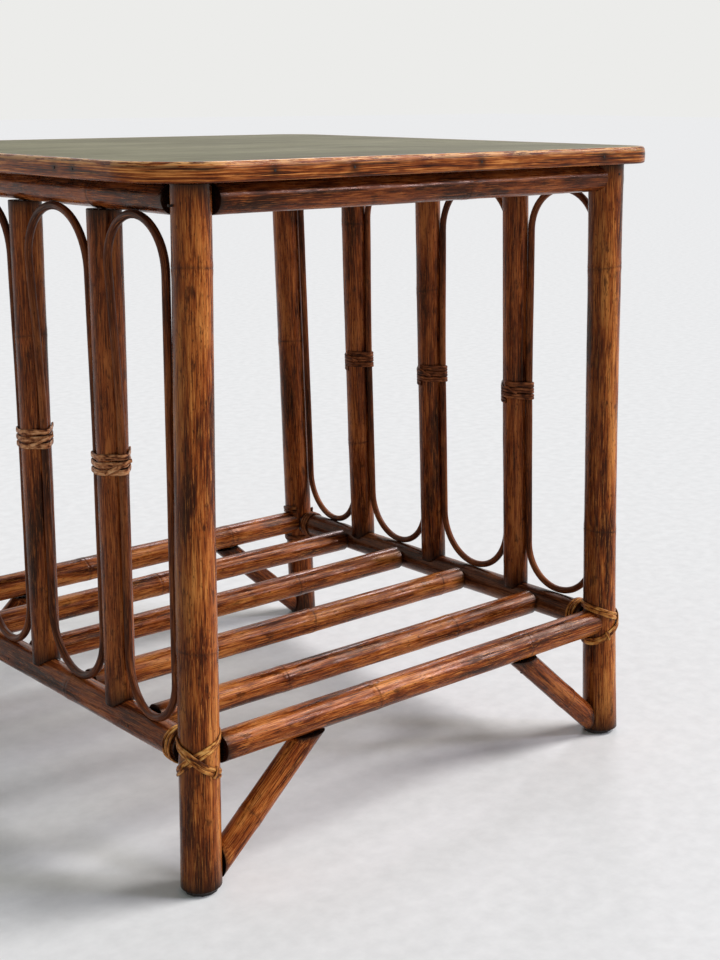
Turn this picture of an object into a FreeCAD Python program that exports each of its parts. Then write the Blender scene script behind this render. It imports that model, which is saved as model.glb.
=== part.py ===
import FreeCAD, Part
import math
import os

import Sketcher

# A rattan side table, in millimetres, +Z up.
# The origin is on the floor, under the middle of the table.
# X runs along the front from the left leg to the right leg, Y from front to back.
# The two side panels lean inwards towards the top, so their pieces are made upright
# about the foot of the panel and then turned by the splay angle.

Vector = FreeCAD.Vector
Rotation = FreeCAD.Rotation
Placement = FreeCAD.Placement

AXIS_X = Vector(1, 0, 0)
AXIS_Y = Vector(0, 1, 0)
AXIS_Z = Vector(0, 0, 1)
HALF_TURN = 180
QUARTER_TURN = 90
# turns X onto Y, Y onto Z and Z onto X
CYCLE_AXES = Rotation(Vector(1, 1, 1), 120)

LEFT, RIGHT = -1, 1
FRONT, BACK = -1, 1
SIDES = ((LEFT, "left"), (RIGHT, "right"))
ENDS = ((FRONT, "front"), (BACK, "back"))

# name, size in mm or degrees, what it is
SIZES = (
    ("table_height", 566.0, "floor to the face of the top"),
    ("top_length", 530.0, "top along X over the edge band"),
    ("top_depth", 532.0, "top along Y over the edge band"),
    ("leg_inset_x", 29.0, "edge of the top to the leg axis along X, at the floor"),
    ("leg_inset_y", 26.0, "edge of the top to the leg axis along Y"),
    ("splay_angle", 1.35, "lean of each side panel, degrees"),
    ("top_thickness", 15.0, "board with its face sheet"),
    ("front_left_corner_radius", 62.0, "plan radius of the top's front left corner"),
    ("front_right_corner_radius", 30.0, "plan radius of the top's front right corner"),
    ("back_corner_radius", 40.0, "plan radius of the top's back corners"),
    ("band_thickness", 6.0, "edge band, out from the board"),
    ("band_easing", 2.4, "sloped outer arrises of the edge band"),
    ("face_thickness", 1.2, "stained face sheet on the board"),
    ("leg_radius", 16.0, "leg pole"),
    ("glide_height", 4.0, "foot glide"),
    ("glide_radius", 13.5, "foot glide"),
    ("upper_rail_radius", 12.0, "rails under the top"),
    ("lower_rail_radius", 13.0, "lower side rails and stretchers"),
    ("lower_rail_height", 116.0, "axis of the lower rails"),
    ("slat_radius", 12.0, "shelf slats"),
    ("post_radius", 13.0, "post of a side panel"),
    ("cane_radius", 3.3, "cane of the loops"),
    ("cane_set_out", 8.0, "cane axis out from the middle plane of the side panel"),
    ("cane_joint_gap", 0.6, "between the butted ends of a loop"),
    ("brace_radius", 11.0, "diagonal brace"),
    ("brace_foot_height", 18.0, "brace axis at the face of the leg"),
    ("brace_reach", 110.0, "leg axis to brace axis under the stretcher"),
    ("binding_height", 328.0, "middle of the post bindings"),
    ("binding_width", 5.2, "flat cane of the post bindings"),
    ("binding_pitch", 6.0, "climb in one turn of the binding"),
    ("binding_turns", 3.0, "turns of the binding"),
    ("strip_thickness", 1.2, "flat cane of bindings and lashings"),
    ("rail_wrap_width", 2.8, "flat cane round the side rail"),
    ("rail_wrap_pitch", 3.6, "climb in one turn round the side rail"),
    ("rail_wrap_turns", 3.0, "turns round the side rail"),
    ("rail_wrap_start", 20.5, "leg axis to the first turn on the rail"),
    ("lashing_width", 4.6, "flat cane crossed round the leg"),
    ("lashing_rise", 15.0, "scale of the lashing's course above and below the rail axis"),
    ("lashing_lift", 1.9, "outer strand over inner strand where they cross"),
    ("pin_size", 1.8, "square section of the steel pins"),
    ("joint_pin_length", 62.0, "pin through a leg into a rail"),
    ("joint_pin_offset", 3.5, "crossing pins pass this far off the rail axis"),
    ("slat_pin_length", 46.0, "pin through the side rail into a slat"),
    ("post_pin_length", 50.0, "pin through a rail into a post"),
    ("brace_pin_length", 30.0, "pin through a brace end into the stretcher"),
    ("edge_pin_length", 18.0, "pin through the edge band into the board"),
    ("screw_radius", 2.0, "screw through an upper rail into the board"),
    ("screw_head_radius", 3.8, "screw head"),
    ("screw_head_height", 2.4, "screw head"),
    ("screw_depth_in_board", 8.0, "screw above the underside of the board"),
    ("seat_clearance", 0.3, "between a coped end and the pole it meets"),
    ("rest_clearance", 0.1, "between a pole and the flat face it meets"),
    ("strip_clearance", 0.4, "between wrapped cane and what it holds"),
    ("pin_clearance", 0.1, "round a pin in its hole"),
)

# where the slats lie between the front and the back leg axis
SLAT_SHARES = (0.173, 0.390, 0.598, 0.794)
# where the posts stand between the front and the back leg axis
POST_SHARES = (0.238, 0.499, 0.748)
BAYS = len(POST_SHARES) + 1
# share of each side of the top where an edge pin sits, from its left or front end
EDGE_PIN_SHARES = {
    "front": (0.19, 0.33, 0.58, 0.86),
    "back": (0.21, 0.52, 0.84),
    "left": (0.21, 0.26, 0.70, 0.85),
    "right": (0.18, 0.49, 0.83),
}
# course of the crossed lashing: degrees round the leg from the stretcher towards the
# side rail, then the share of the lashing rise where the strand lies at that angle
LASHING_COURSE_SHARES = (
    (146, 0.10), (180, -0.22), (225, -0.60), (270, -0.95), (315, -1.18), (360, -1.24),
    (405, -1.24), (450, -1.22), (495, -1.18), (540, -0.98), (585, -0.60), (630, 0.02),
    (675, 0.72), (705, 1.06), (740, 1.18), (765, 1.20),
)
LASHING_CROSSING_ANGLE = 225
LASHING_LIFT_SPREAD = 60
STRIP_STEPS_PER_TURN = 16
LOOP_ARCH_STEPS = 8
CANE_CORNERS = 8
SCREW_CORNERS = 6
GLIDE_CORNERS = 12

doc = FreeCAD.newDocument("rattan_side_table")
sheet = doc.addObject("Spreadsheet::Sheet", "sizes")
for row, (alias, size, meaning) in enumerate(SIZES, start=1):
    sheet.set(f"A{row}", alias)
    sheet.set(f"B{row}", str(size))
    sheet.set(f"C{row}", meaning)
    sheet.setAlias(f"B{row}", alias)
doc.recompute()

sub_parts = []


def size(alias):
    return float(getattr(sheet, alias))


def leg_span_y():
    """Front to back leg axis."""
    return size("top_depth") - 2 * size("leg_inset_y")


def bind(thing, **formulas):
    """Ties properties of a feature to formulas over the sheet's names."""
    for name, formula in formulas.items():
        thing.setExpression(name.replace("__", "."), with_sheet(formula))


def with_sheet(formula):
    """Writes sizes.name for every sheet name in a formula."""
    text = str(formula)
    out = ""
    word = ""
    for letter in text + " ":
        if letter.isalnum() or letter in "_.":
            word += letter
            continue
        out += "sizes." + word if word in SHEET_NAMES else word
        out += letter
        word = ""
    return out.strip()


SHEET_NAMES = {alias for alias, _, _ in SIZES}

# formulas used by several pieces
BOARD_UNDERSIDE = "(table_height - top_thickness)"
UPPER_RAIL_AXIS = "(table_height - top_thickness - upper_rail_radius - rest_clearance)"
UPPER_RAIL_UNDERSIDE = "(table_height - top_thickness - 2 * upper_rail_radius - 2 * rest_clearance)"
HALF_SPAN_X = "(top_length / 2 - leg_inset_x)"
HALF_SPAN_Y = "(top_depth / 2 - leg_inset_y)"
SPAN_Y = f"(2 * {HALF_SPAN_Y})"
COPE = "seat_clearance"
BRACE_TOP = "(lower_rail_height * cos(splay_angle) - lower_rail_radius - rest_clearance)"
BRACE_RUN = "(brace_reach - leg_radius)"
BRACE_SLOPE = f"atan(({BRACE_TOP} - brace_foot_height) / {BRACE_RUN})"
BRACE_PIN_START = f"({BRACE_TOP} - brace_radius / cos({BRACE_SLOPE}))"


def share_of_span(share):
    """Place along Y from its share of the way from the front to the back leg axis."""
    return f"({share} - 0.5) * {SPAN_Y}"


def post_y(post):
    return share_of_span(POST_SHARES[post - 1])


def panel_axis_x(side, height):
    """Where a side panel stands along X at a height above the floor."""
    return f"({side}) * ({HALF_SPAN_X} - {height} * tan(splay_angle))"


def move(thing, x="0", y="0", z="0", rotation=Rotation()):
    thing.Placement = Placement(Vector(0, 0, 0), rotation)
    bind(thing, Placement__Base__x=x, Placement__Base__y=y, Placement__Base__z=z)


def lean(thing, side):
    """Turns a piece made about the foot of its panel to where the panel stands."""
    thing.Placement = Placement(Vector(0, 0, 0), Rotation(Vector(0, -side, 0), 1))
    bind(thing, Placement__Base__x=f"{side} * {HALF_SPAN_X}", Placement__Rotation__Angle="splay_angle")


def cylinder(name, radius, height, x="0", y="0", z="0", rotation=Rotation()):
    pole = doc.addObject("Part::Cylinder", name)
    bind(pole, Radius=radius, Height=height)
    move(pole, x, y, z, rotation)
    return pole


def prism(name, corners, radius, height, x="0", y="0", z="0"):
    """An upright bar with flat sides, its size given over the corners."""
    bar = doc.addObject("Part::Prism", name)
    bar.Polygon = corners
    bind(bar, Circumradius=radius, Height=height)
    move(bar, x, y, z)
    return bar


def leaning_cylinder(name, side, radius, y):
    """Axis of a leg as it stands, used to cope the rails that run along X."""
    pole = doc.addObject("Part::Cylinder", name)
    bind(pole, Radius=radius, Height="table_height")
    lean(pole, side)
    bind(pole, Placement__Base__y=y)
    return pole


def box(name, x_from, x_size, y_from, y_size, z_from, z_size):
    block = doc.addObject("Part::Box", name)
    bind(block, Length=x_size, Width=y_size, Height=z_size)
    move(block, x_from, y_from, z_from)
    return block


def group(name, members):
    bundle = doc.addObject("Part::Compound", name)
    bundle.Links = members
    return bundle


def cut(name, base, tools):
    """Takes one tool or several away from a piece."""
    result = doc.addObject("Part::Cut", name)
    result.Base = base
    result.Tool = tools[0] if len(tools) == 1 else group(name + "_tools", tools)
    return result


def keep(thing, label):
    thing.Label = label
    sub_parts.append(thing)
    return thing


TO_X = Rotation(AXIS_Y, QUARTER_TURN)
TO_Y = Rotation(AXIS_X, -QUARTER_TURN)


# Steel pins: each side panel has its pins, made upright with the panel.
# A pin and its hole share one place and length; the hole is wider by the clearance.
def panel_pins(side, purpose, wider):
    section = f"(pin_size + 2 * {wider})"
    middle = f"({section} / 2)"
    pins = []

    def along_x(tag, height, y, start, length):
        # starts on the outer side of the panel and runs inwards
        near = start if side == LEFT else f"-({start}) - {length}"
        pins.append(box(f"{purpose}_{tag}", near, length, f"{y} - {middle}", section,
                        f"{height} - {middle}", section))

    def along_y(tag, height, end):
        near = (f"-{HALF_SPAN_Y} - leg_radius" if end == FRONT
                else f"{HALF_SPAN_Y} + leg_radius - joint_pin_length")
        pins.append(box(f"{purpose}_{tag}", f"-{middle}", section, near, "joint_pin_length",
                        f"{height} - {middle}", section))

    def upright(tag, y, bottom):
        pins.append(box(f"{purpose}_{tag}", f"-{middle}", section, f"{y} - {middle}", section,
                        bottom, "post_pin_length"))

    for end, end_name in ENDS:
        leg_y = f"{end} * {HALF_SPAN_Y}"
        for level, rail in (("upper", UPPER_RAIL_AXIS), ("lower", "lower_rail_height")):
            along_x(f"{end_name}_{level}_x", f"{rail} - joint_pin_offset", leg_y,
                    "-leg_radius", "joint_pin_length")
            along_y(f"{end_name}_{level}_y", f"{rail} + joint_pin_offset", end)
        along_x(f"{end_name}_brace_x", "brace_foot_height", leg_y, "-leg_radius",
                "(2 * leg_radius + brace_radius)")
    for number, share in enumerate(SLAT_SHARES, start=1):
        along_x(f"slat_{number}", "lower_rail_height", share_of_span(share), "-lower_rail_radius",
                "slat_pin_length")
    for post in range(1, BAYS):
        upright(f"post_{post}_foot", post_y(post), "lower_rail_height - lower_rail_radius")
        upright(f"post_{post}_top", post_y(post),
                f"{UPPER_RAIL_AXIS} + upper_rail_radius - post_pin_length")
    return pins


upright_holes = {}
leaning_holes = {}
leaning_pins = []
for side, side_name in SIDES:
    holes = panel_pins(side, f"{side_name}_hole", "pin_clearance")
    upright_holes[side] = holes
    leaning_holes[side] = group(f"{side_name}_leaning_holes", holes)
    lean(leaning_holes[side], side)
    pins = group(f"{side_name}_pins", panel_pins(side, f"{side_name}_pin", "0"))
    lean(pins, side)
    leaning_pins.append(pins)
keep(group("panel_pins", leaning_pins), "panel_pins")


def holes_named(side, *words):
    return [hole for hole in upright_holes[side] if any(word in hole.Name for word in words)]


def square_pin(name, x, y, start, length, wider):
    """An upright square pin, or its hole when it is wider."""
    section = f"(pin_size + 2 * {wider})"
    return box(name, f"{x} - {section} / 2", section, f"{y} - {section} / 2", section, start, length)


# Screws go up through the front and back rails into the board, heads sunk in the rail.
SCREW_SEAT = f"({UPPER_RAIL_UNDERSIDE} + screw_head_height)"


def screw(name, side, end, wider):
    """Head and shank of a screw, or the recess and hole round them when they are wider."""
    x = f"{side} * {HALF_SPAN_X} / 2"
    y = f"{end} * {HALF_SPAN_Y}"
    # the recess stays open below the head
    head_start = SCREW_SEAT if wider == "0" else f"{SCREW_SEAT} - 2 * screw_head_height"
    head = prism(name + "_head", SCREW_CORNERS, f"screw_head_radius + {wider}",
                 f"{SCREW_SEAT} + screw_head_height + {wider} - ({head_start})", x, y, head_start)
    shank = prism(name + "_shank", SCREW_CORNERS, f"screw_radius + {wider}",
                  f"{BOARD_UNDERSIDE} + screw_depth_in_board - {SCREW_SEAT}", x, y, SCREW_SEAT)
    return [head, shank]


screws = []
for side, side_name in SIDES:
    for end, end_name in ENDS:
        name = f"screw_{end_name}_{side_name}"
        body = doc.addObject("Part::MultiFuse", name)
        body.Shapes = screw(name, side, end, "0")
        screws.append(body)
keep(group("top_screws", screws), "top_screws")

# Legs: round poles, cut level at the glide and under the board.
for side, side_name in SIDES:
    for end, end_name in ENDS:
        name = f"leg_{end_name}_{side_name}"
        leg_y = f"{end} * {HALF_SPAN_Y}"
        pole = cylinder(name + "_pole", "leg_radius", "table_height", y=leg_y)
        slab = box(name + "_slab", "-2 * leg_radius", "4 * leg_radius",
                   f"{leg_y} - 2 * leg_radius", "4 * leg_radius", "0",
                   f"{BOARD_UNDERSIDE} - rest_clearance - glide_height")
        # the slab stands level on the floor while the pole leans
        slab.Placement = Placement(Vector(0, 0, 0), Rotation(Vector(0, side, 0), 1))
        bind(slab, Placement__Rotation__Angle="splay_angle",
             Placement__Base__x=f"-2 * leg_radius * cos(splay_angle) + ({side}) * glide_height * sin(splay_angle)",
             Placement__Base__y=f"{leg_y} - 2 * leg_radius",
             Placement__Base__z=f"glide_height * cos(splay_angle) + ({side}) * 2 * leg_radius * sin(splay_angle)")
        blank = doc.addObject("Part::Common", name + "_blank")
        blank.Base = pole
        blank.Tool = slab
        leg = cut(name, blank, holes_named(side, f"hole_{end_name}"))
        lean(leg, side)
        keep(leg, name)

# Side rails run between the legs of a panel and are coped round them.
for side, side_name in SIDES:
    for level, radius, height in (("upper", "upper_rail_radius", UPPER_RAIL_AXIS),
                                  ("lower", "lower_rail_radius", "lower_rail_height")):
        name = f"{level}_side_rail_{side_name}"
        pole = cylinder(name + "_pole", radius, SPAN_Y, y=f"-{HALF_SPAN_Y}", z=height, rotation=TO_Y)
        copes = [cylinder(f"{name}_cope_{end_name}", f"leg_radius + {COPE}", "table_height",
                          y=f"{end} * {HALF_SPAN_Y}") for end, end_name in ENDS]
        words = ("slat_", "foot", "lower") if level == "lower" else ("_top", "upper")
        rail = cut(name, pole, copes + holes_named(side, *words))
        lean(rail, side)
        keep(rail, name)


def side_rail_copes(name, level, radius):
    """Side rails grown by the clearance, to notch what meets them."""
    height = UPPER_RAIL_AXIS if level == "upper" else "lower_rail_height"
    copes = []
    for side, side_name in SIDES:
        copes.append(cylinder(f"{name}_rail_{side_name}", f"{radius} + {COPE}", SPAN_Y,
                              x=panel_axis_x(side, f"({height} * cos(splay_angle))"),
                              y=f"-{HALF_SPAN_Y}", z=f"{height} * cos(splay_angle)", rotation=TO_Y))
    return copes


# Front and back rails and stretchers run along X, coped round the legs
# and notched round the side rails that reach the same height.
for end, end_name in ENDS:
    for level, radius, height in (("upper", "upper_rail_radius", UPPER_RAIL_AXIS),
                                  ("lower", "lower_rail_radius", "lower_rail_height")):
        name = f"upper_rail_{end_name}" if level == "upper" else f"stretcher_{end_name}"
        rail_y = f"{end} * {HALF_SPAN_Y}"
        rail_z = f"{height} * cos(splay_angle)"
        pole = cylinder(name + "_pole", radius, f"2 * ({HALF_SPAN_X} - {height} * sin(splay_angle))",
                        x=f"-{HALF_SPAN_X} + {height} * sin(splay_angle)", y=rail_y, z=rail_z, rotation=TO_X)
        tools = [leaning_cylinder(f"{name}_cope_{side_name}", side, f"leg_radius + {COPE}", rail_y)
                 for side, side_name in SIDES]
        tools += side_rail_copes(name, level, radius)
        tools += [leaning_holes[LEFT], leaning_holes[RIGHT]]
        if level == "upper":
            tools += [part for side, side_name in SIDES
                      for part in screw(f"{name}_hole_{side_name}", side, end, "pin_clearance")]
            keep(cut(name, pole, tools), name)
        else:
            # the pins of the two braces enter the stretcher from below
            tools += [square_pin(f"{name}_brace_hole_{side_name}", f"({side}) * ({HALF_SPAN_X} - brace_reach)",
                                 rail_y, BRACE_PIN_START, "brace_pin_length", "pin_clearance")
                      for side, side_name in SIDES]
            keep(cut(name, pole, tools), name)

# Shelf slats butt against the inner sides of the lower side rails.
for number, share in enumerate(SLAT_SHARES, start=1):
    name = f"shelf_slat_{number}"
    slat_z = "lower_rail_height * cos(splay_angle)"
    pole = cylinder(name + "_pole", "slat_radius", f"2 * ({HALF_SPAN_X} - lower_rail_height * sin(splay_angle))",
                    x=f"-{HALF_SPAN_X} + lower_rail_height * sin(splay_angle)",
                    y=share_of_span(share), z=slat_z, rotation=TO_X)
    tools = side_rail_copes(name, "lower", "lower_rail_radius") + [leaning_holes[LEFT], leaning_holes[RIGHT]]
    keep(cut(name, pole, tools), name)

# Posts stand on the lower rail with a fish-mouthed foot and end flat under the upper rail.
for side, side_name in SIDES:
    for post in range(1, BAYS):
        name = f"post_{side_name}_{post}"
        pole = cylinder(name + "_pole", "post_radius", f"{UPPER_RAIL_UNDERSIDE} - lower_rail_height",
                        y=post_y(post), z="lower_rail_height")
        saddle = cylinder(name + "_saddle", f"lower_rail_radius + {COPE}", SPAN_Y,
                          y=f"-{HALF_SPAN_Y}", z="lower_rail_height", rotation=TO_Y)
        piece = cut(name, pole, [saddle] + holes_named(side, f"post_{post}_"))
        lean(piece, side)
        keep(piece, name)


# Canes: every cane and strip is a row of sections, each a list of corners, joined by flat faces.
def cane_solid(sections, twisted):
    """One unbroken solid through the sections; a twisted face is split in two, ridge outwards."""
    corners = [corner for section in sections for corner in section]
    middle = sum(corners, Vector(0, 0, 0)) / len(corners)
    faces = [sections[0], sections[-1]]
    for near, far in zip(sections, sections[1:]):
        for corner in range(len(near)):
            after = (corner + 1) % len(near)
            quad = [near[corner], near[after], far[after], far[corner]]
            if not twisted:
                faces.append(quad)
                continue
            if ((quad[1] + quad[3]) / 2 - middle).Length > ((quad[0] + quad[2]) / 2 - middle).Length:
                quad = quad[1:] + quad[:1]
            faces.append([quad[0], quad[1], quad[2]])
            faces.append([quad[0], quad[2], quad[3]])
    shell = Part.makeShell([Part.Face(Part.makePolygon(face + [face[0]])) for face in faces])
    solid = Part.makeSolid(shell)
    if solid.Volume < 0:
        solid.reverse()
    return solid


# Cane loops: a stretched ring in each bay, its ends butted behind a binding. The rings lie
# on the outer quarter of the poles, outside the middle plane of the side panel.
def cane_beside(pole_radius):
    """From the axis of a pole to the cane that rests against it, measured in the panel's plane."""
    apart = size(pole_radius) + size("seat_clearance") + size("cane_radius")
    return math.sqrt(apart ** 2 - size("cane_set_out") ** 2)


def loop_sections(side, bay):
    cane = size("cane_radius")
    upper_rail_axis = (size("table_height") - size("top_thickness") - size("rest_clearance")
                       - size("upper_rail_radius"))
    head = upper_rail_axis - cane_beside("upper_rail_radius")
    foot = size("lower_rail_height") + cane_beside("lower_rail_radius")
    poles = [(share - 0.5) * leg_span_y() for share in (0, *POST_SHARES, 1)]
    front = poles[bay - 1] + cane_beside("leg_radius" if bay == 1 else "post_radius")
    back = poles[bay] - cane_beside("leg_radius" if bay == BAYS else "post_radius")
    middle = (front + back) / 2
    bend = (back - front) / 2
    # the butted ends lie on the side that a post binding covers
    joint = BACK if bay < BAYS else FRONT
    course = [(0, size("binding_height") + size("cane_joint_gap") / 2)]
    course += [(math.pi * step / LOOP_ARCH_STEPS, head - bend) for step in range(LOOP_ARCH_STEPS + 1)]
    course += [(math.pi + math.pi * step / LOOP_ARCH_STEPS, foot + bend) for step in range(LOOP_ARCH_STEPS + 1)]
    course += [(2 * math.pi, size("binding_height") - size("cane_joint_gap") / 2)]
    sections = []
    for angle, height in course:
        outward = Vector(0, joint * math.cos(angle), math.sin(angle))
        centre = Vector(side * size("cane_set_out"), middle, height) + outward * bend
        sections.append([centre + outward * (cane * math.cos(turn)) + AXIS_X * (cane * math.sin(turn))
                         for turn in (2 * math.pi * corner / CANE_CORNERS for corner in range(CANE_CORNERS))])
    return sections


for side, side_name in SIDES:
    for bay in range(1, BAYS + 1):
        ring = doc.addObject("Part::Feature", f"cane_loop_{side_name}_{bay}")
        ring.Shape = cane_solid(loop_sections(side, bay), False)
        lean(ring, side)
        keep(ring, f"cane_loop_{side_name}_{bay}")

# Diagonal braces run from the foot of a leg to the underside of the stretcher.
brace_pins = []
for side, side_name in SIDES:
    for end, end_name in ENDS:
        name = f"brace_{end_name}_{side_name}"
        brace_y = f"{end} * {HALF_SPAN_Y}"
        pole = doc.addObject("Part::Cylinder", name + "_pole")
        bind(pole, Radius="brace_radius", Height=f"2 * brace_reach / cos({BRACE_SLOPE})")
        # the pole starts one run outside the leg and leans over towards the middle
        pole.Placement = Placement(Vector(0, 0, 0), Rotation(Vector(0, -side, 0), 1))
        bind(pole, Placement__Rotation__Angle=f"90 deg - {BRACE_SLOPE}",
             Placement__Base__x=f"({side}) * ({HALF_SPAN_X} - brace_reach + 1.5 * {BRACE_RUN})",
             Placement__Base__y=brace_y,
             Placement__Base__z=f"{BRACE_TOP} - 1.5 * ({BRACE_TOP} - brace_foot_height)")
        room_x = f"-{HALF_SPAN_X}" if side == LEFT else f"{HALF_SPAN_X} - 2 * brace_reach"
        room = box(name + "_room", room_x, "2 * brace_reach", f"{brace_y} - 2 * brace_radius",
                   "4 * brace_radius", "glide_height / 2", f"{BRACE_TOP} - glide_height / 2")
        blank = doc.addObject("Part::Common", name + "_blank")
        blank.Base = pole
        blank.Tool = room
        leg_cope = leaning_cylinder(name + "_cope", side, f"leg_radius + {COPE}", brace_y)
        pin_x = f"({side}) * ({HALF_SPAN_X} - brace_reach)"
        hole = square_pin(name + "_hole", pin_x, brace_y, BRACE_PIN_START, "brace_pin_length", "pin_clearance")
        brace_pins.append(square_pin(name + "_pin", pin_x, brace_y, BRACE_PIN_START, "brace_pin_length", "0"))
        keep(cut(name, blank, [leg_cope, hole, leaning_holes[side]]), name)
keep(group("brace_pins", brace_pins), "brace_pins")


# Flat cane: a strip with a rectangular section, laid along stations that each give the
# point on the middle line and the outward direction of the surface it lies on.
def strip_sections(stations, width, thickness):
    sections = []
    last = len(stations) - 1
    for index, (point, outward) in enumerate(stations):
        before = stations[max(index - 1, 0)][0]
        after = stations[min(index + 1, last)][0]
        along = (after - before).normalize()
        across = along.cross(outward).normalize()
        out = across.cross(along).normalize()
        sections.append([point + across * (width / 2 * a) + out * (thickness / 2 * b)
                         for a, b in ((-1, -1), (1, -1), (1, 1), (-1, 1))])
    return sections


def least_gap(stations, steps_apart, width, thickness):
    """Least space between turns, from points on both edges of the strip."""
    edges = []
    last = len(stations) - 1
    for index, (point, outward) in enumerate(stations):
        along = (stations[min(index + 1, last)][0] - stations[max(index - 1, 0)][0]).normalize()
        across = along.cross(outward).normalize()
        edges.append([point + across * (width / 2 * a) + outward * (thickness / 2 * b)
                      for a in (-1, 0, 1) for b in (-1, 1)])
    least = width * STRIP_STEPS_PER_TURN
    for first in range(len(edges)):
        for second in range(first + steps_apart, len(edges)):
            if (stations[first][0] - stations[second][0]).Length > 3 * width:
                continue
            least = min(least, min((p - q).Length for p in edges[first] for q in edges[second]))
    return least


def add_strip(name, stations, width, side, y, steps_per_turn):
    piece = doc.addObject("Part::Feature", name)
    piece.Shape = cane_solid(strip_sections(stations, width, size("strip_thickness")), True)
    lean(piece, side)
    bind(piece, Placement__Base__y=y)
    keep(piece, name)
    gap = least_gap(stations, steps_per_turn // 2, width, size("strip_thickness"))
    print(f"{name}: {len(stations)} stations, least gap to itself {gap:.2f} mm")


# Bindings: flat cane round a post and the two canes beside it.
def binding_stations(side):
    cane = size("cane_radius")
    post = size("post_radius")
    offset = post + size("seat_clearance") + cane
    spare = size("strip_clearance") + size("strip_thickness") / 2
    around_post = post + spare
    around_cane = cane + spare
    # angles start on the inner side of the post; a straight run touches the post and a
    # cane at one outward angle, and the canes stand past the quarter turn by the swing
    touch = math.asin((around_post - around_cane) / offset)
    swing = math.asin(size("cane_set_out") / offset)
    first, second = swing + touch, math.pi + swing - touch
    third, fourth = 2 * math.pi - second, 2 * math.pi - first
    post_centre = Vector(0, 0, 0)
    back_cane, front_cane = (Vector(side * size("cane_set_out"), end * cane_beside("post_radius"), 0)
                             for end in (BACK, FRONT))
    spans = ((post_centre, around_post, 0, first, 4), (back_cane, around_cane, first, second, 4),
             (post_centre, around_post, second, third, 1), (front_cane, around_cane, third, fourth, 4),
             (post_centre, around_post, fourth, 2 * math.pi, 4))
    outline = []
    for centre, radius, start, stop, steps in spans:
        for step in range(steps + 1):
            angle = start + (stop - start) * step / steps
            outward = Vector(-side * math.cos(angle), math.sin(angle), 0)
            outline.append((centre + outward * radius, outward))
    lengths = [0.0]
    for (before, _), (after, _) in zip(outline, outline[1:]):
        lengths.append(lengths[-1] + (after - before).Length)
    turns = int(size("binding_turns"))
    stations = []
    for turn in range(turns):
        for (point, outward), length in list(zip(outline, lengths))[:-1]:
            climb = (turn + length / lengths[-1] - turns / 2) * size("binding_pitch")
            stations.append((point + Vector(0, 0, size("binding_height") + climb), outward))
    point, outward = outline[-1]
    top = size("binding_height") + turns / 2 * size("binding_pitch")
    stations.append((point + Vector(0, 0, top), outward))
    return stations


for side, side_name in SIDES:
    for post in range(1, BAYS):
        add_strip(f"post_binding_{side_name}_{post}", binding_stations(side), size("binding_width"), side,
                  post_y(post), len(binding_stations(side)) // int(size("binding_turns")))


# Wraps: flat cane round the lower side rail, close to each leg.
def rail_wrap_stations(side, end):
    radius = size("lower_rail_radius") + size("strip_clearance") + size("strip_thickness") / 2
    steps = int(STRIP_STEPS_PER_TURN * size("rail_wrap_turns"))
    stations = []
    for step in range(steps + 1):
        turn = step / STRIP_STEPS_PER_TURN
        angle = 2 * math.pi * turn - math.pi / 2
        outward = Vector(side * math.cos(angle), 0, math.sin(angle))
        reach = size("rail_wrap_start") + turn * size("rail_wrap_pitch")
        y = end * (leg_span_y() / 2 - reach)
        stations.append((Vector(0, y, size("lower_rail_height")) + outward * radius, outward))
    return stations


def eased(course, angle):
    """Smooth value at an angle from a table of angles and values."""
    last = len(course) - 1
    for index in range(last):
        (start, low), (stop, high) = course[index], course[index + 1]
        if angle <= stop:
            break
    before = course[max(index - 1, 0)]
    after = course[min(index + 2, last)]
    span = stop - start
    share = (angle - start) / span
    slope_in = (high - before[1]) / (stop - before[0]) * span
    slope_out = (after[1] - low) / (after[0] - start) * span
    square, cube = share ** 2, share ** 3
    return ((2 * cube - 3 * square + 1) * low + (cube - 2 * square + share) * slope_in
            + (3 * square - 2 * cube) * high + (cube - square) * slope_out)


# Lashings: one strand goes twice round the leg below the rails and up over the stretcher,
# and its two passes cross on the outer corner of the leg.
def lashing_stations(side, end):
    inner = size("leg_radius") + size("strip_clearance") + size("strip_thickness") / 2
    first, last = LASHING_COURSE_SHARES[0][0], LASHING_COURSE_SHARES[-1][0]
    steps = round((last - first) / 360 * STRIP_STEPS_PER_TURN)
    stations = []
    for step in range(steps + 1):
        degrees = first + (last - first) * step / steps
        angle = math.radians(degrees)
        outward = Vector(-side * math.cos(angle), -end * math.sin(angle), 0)
        off_crossing = abs(degrees - LASHING_CROSSING_ANGLE) / LASHING_LIFT_SPREAD
        lift = size("lashing_lift") * (1 + math.cos(math.pi * min(off_crossing, 1))) / 2
        height = size("lower_rail_height") + size("lashing_rise") * eased(LASHING_COURSE_SHARES, degrees)
        centre = Vector(0, end * leg_span_y() / 2, height)
        stations.append((centre + outward * (inner + lift), outward))
    return stations


for side, side_name in SIDES:
    for end, end_name in ENDS:
        add_strip(f"rail_wrap_{end_name}_{side_name}", rail_wrap_stations(side, end), size("rail_wrap_width"),
                  side, "0", STRIP_STEPS_PER_TURN)
        add_strip(f"leg_lashing_{end_name}_{side_name}", lashing_stations(side, end), size("lashing_width"),
                  side, "0", STRIP_STEPS_PER_TURN)


# Top: a board with a stained face sheet, edged by two bent bands.
TOP_CORNERS = (
    (LEFT, FRONT, "front_left_corner_radius"), (RIGHT, FRONT, "front_right_corner_radius"),
    (RIGHT, BACK, "back_corner_radius"), (LEFT, BACK, "back_corner_radius"),
)


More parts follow.
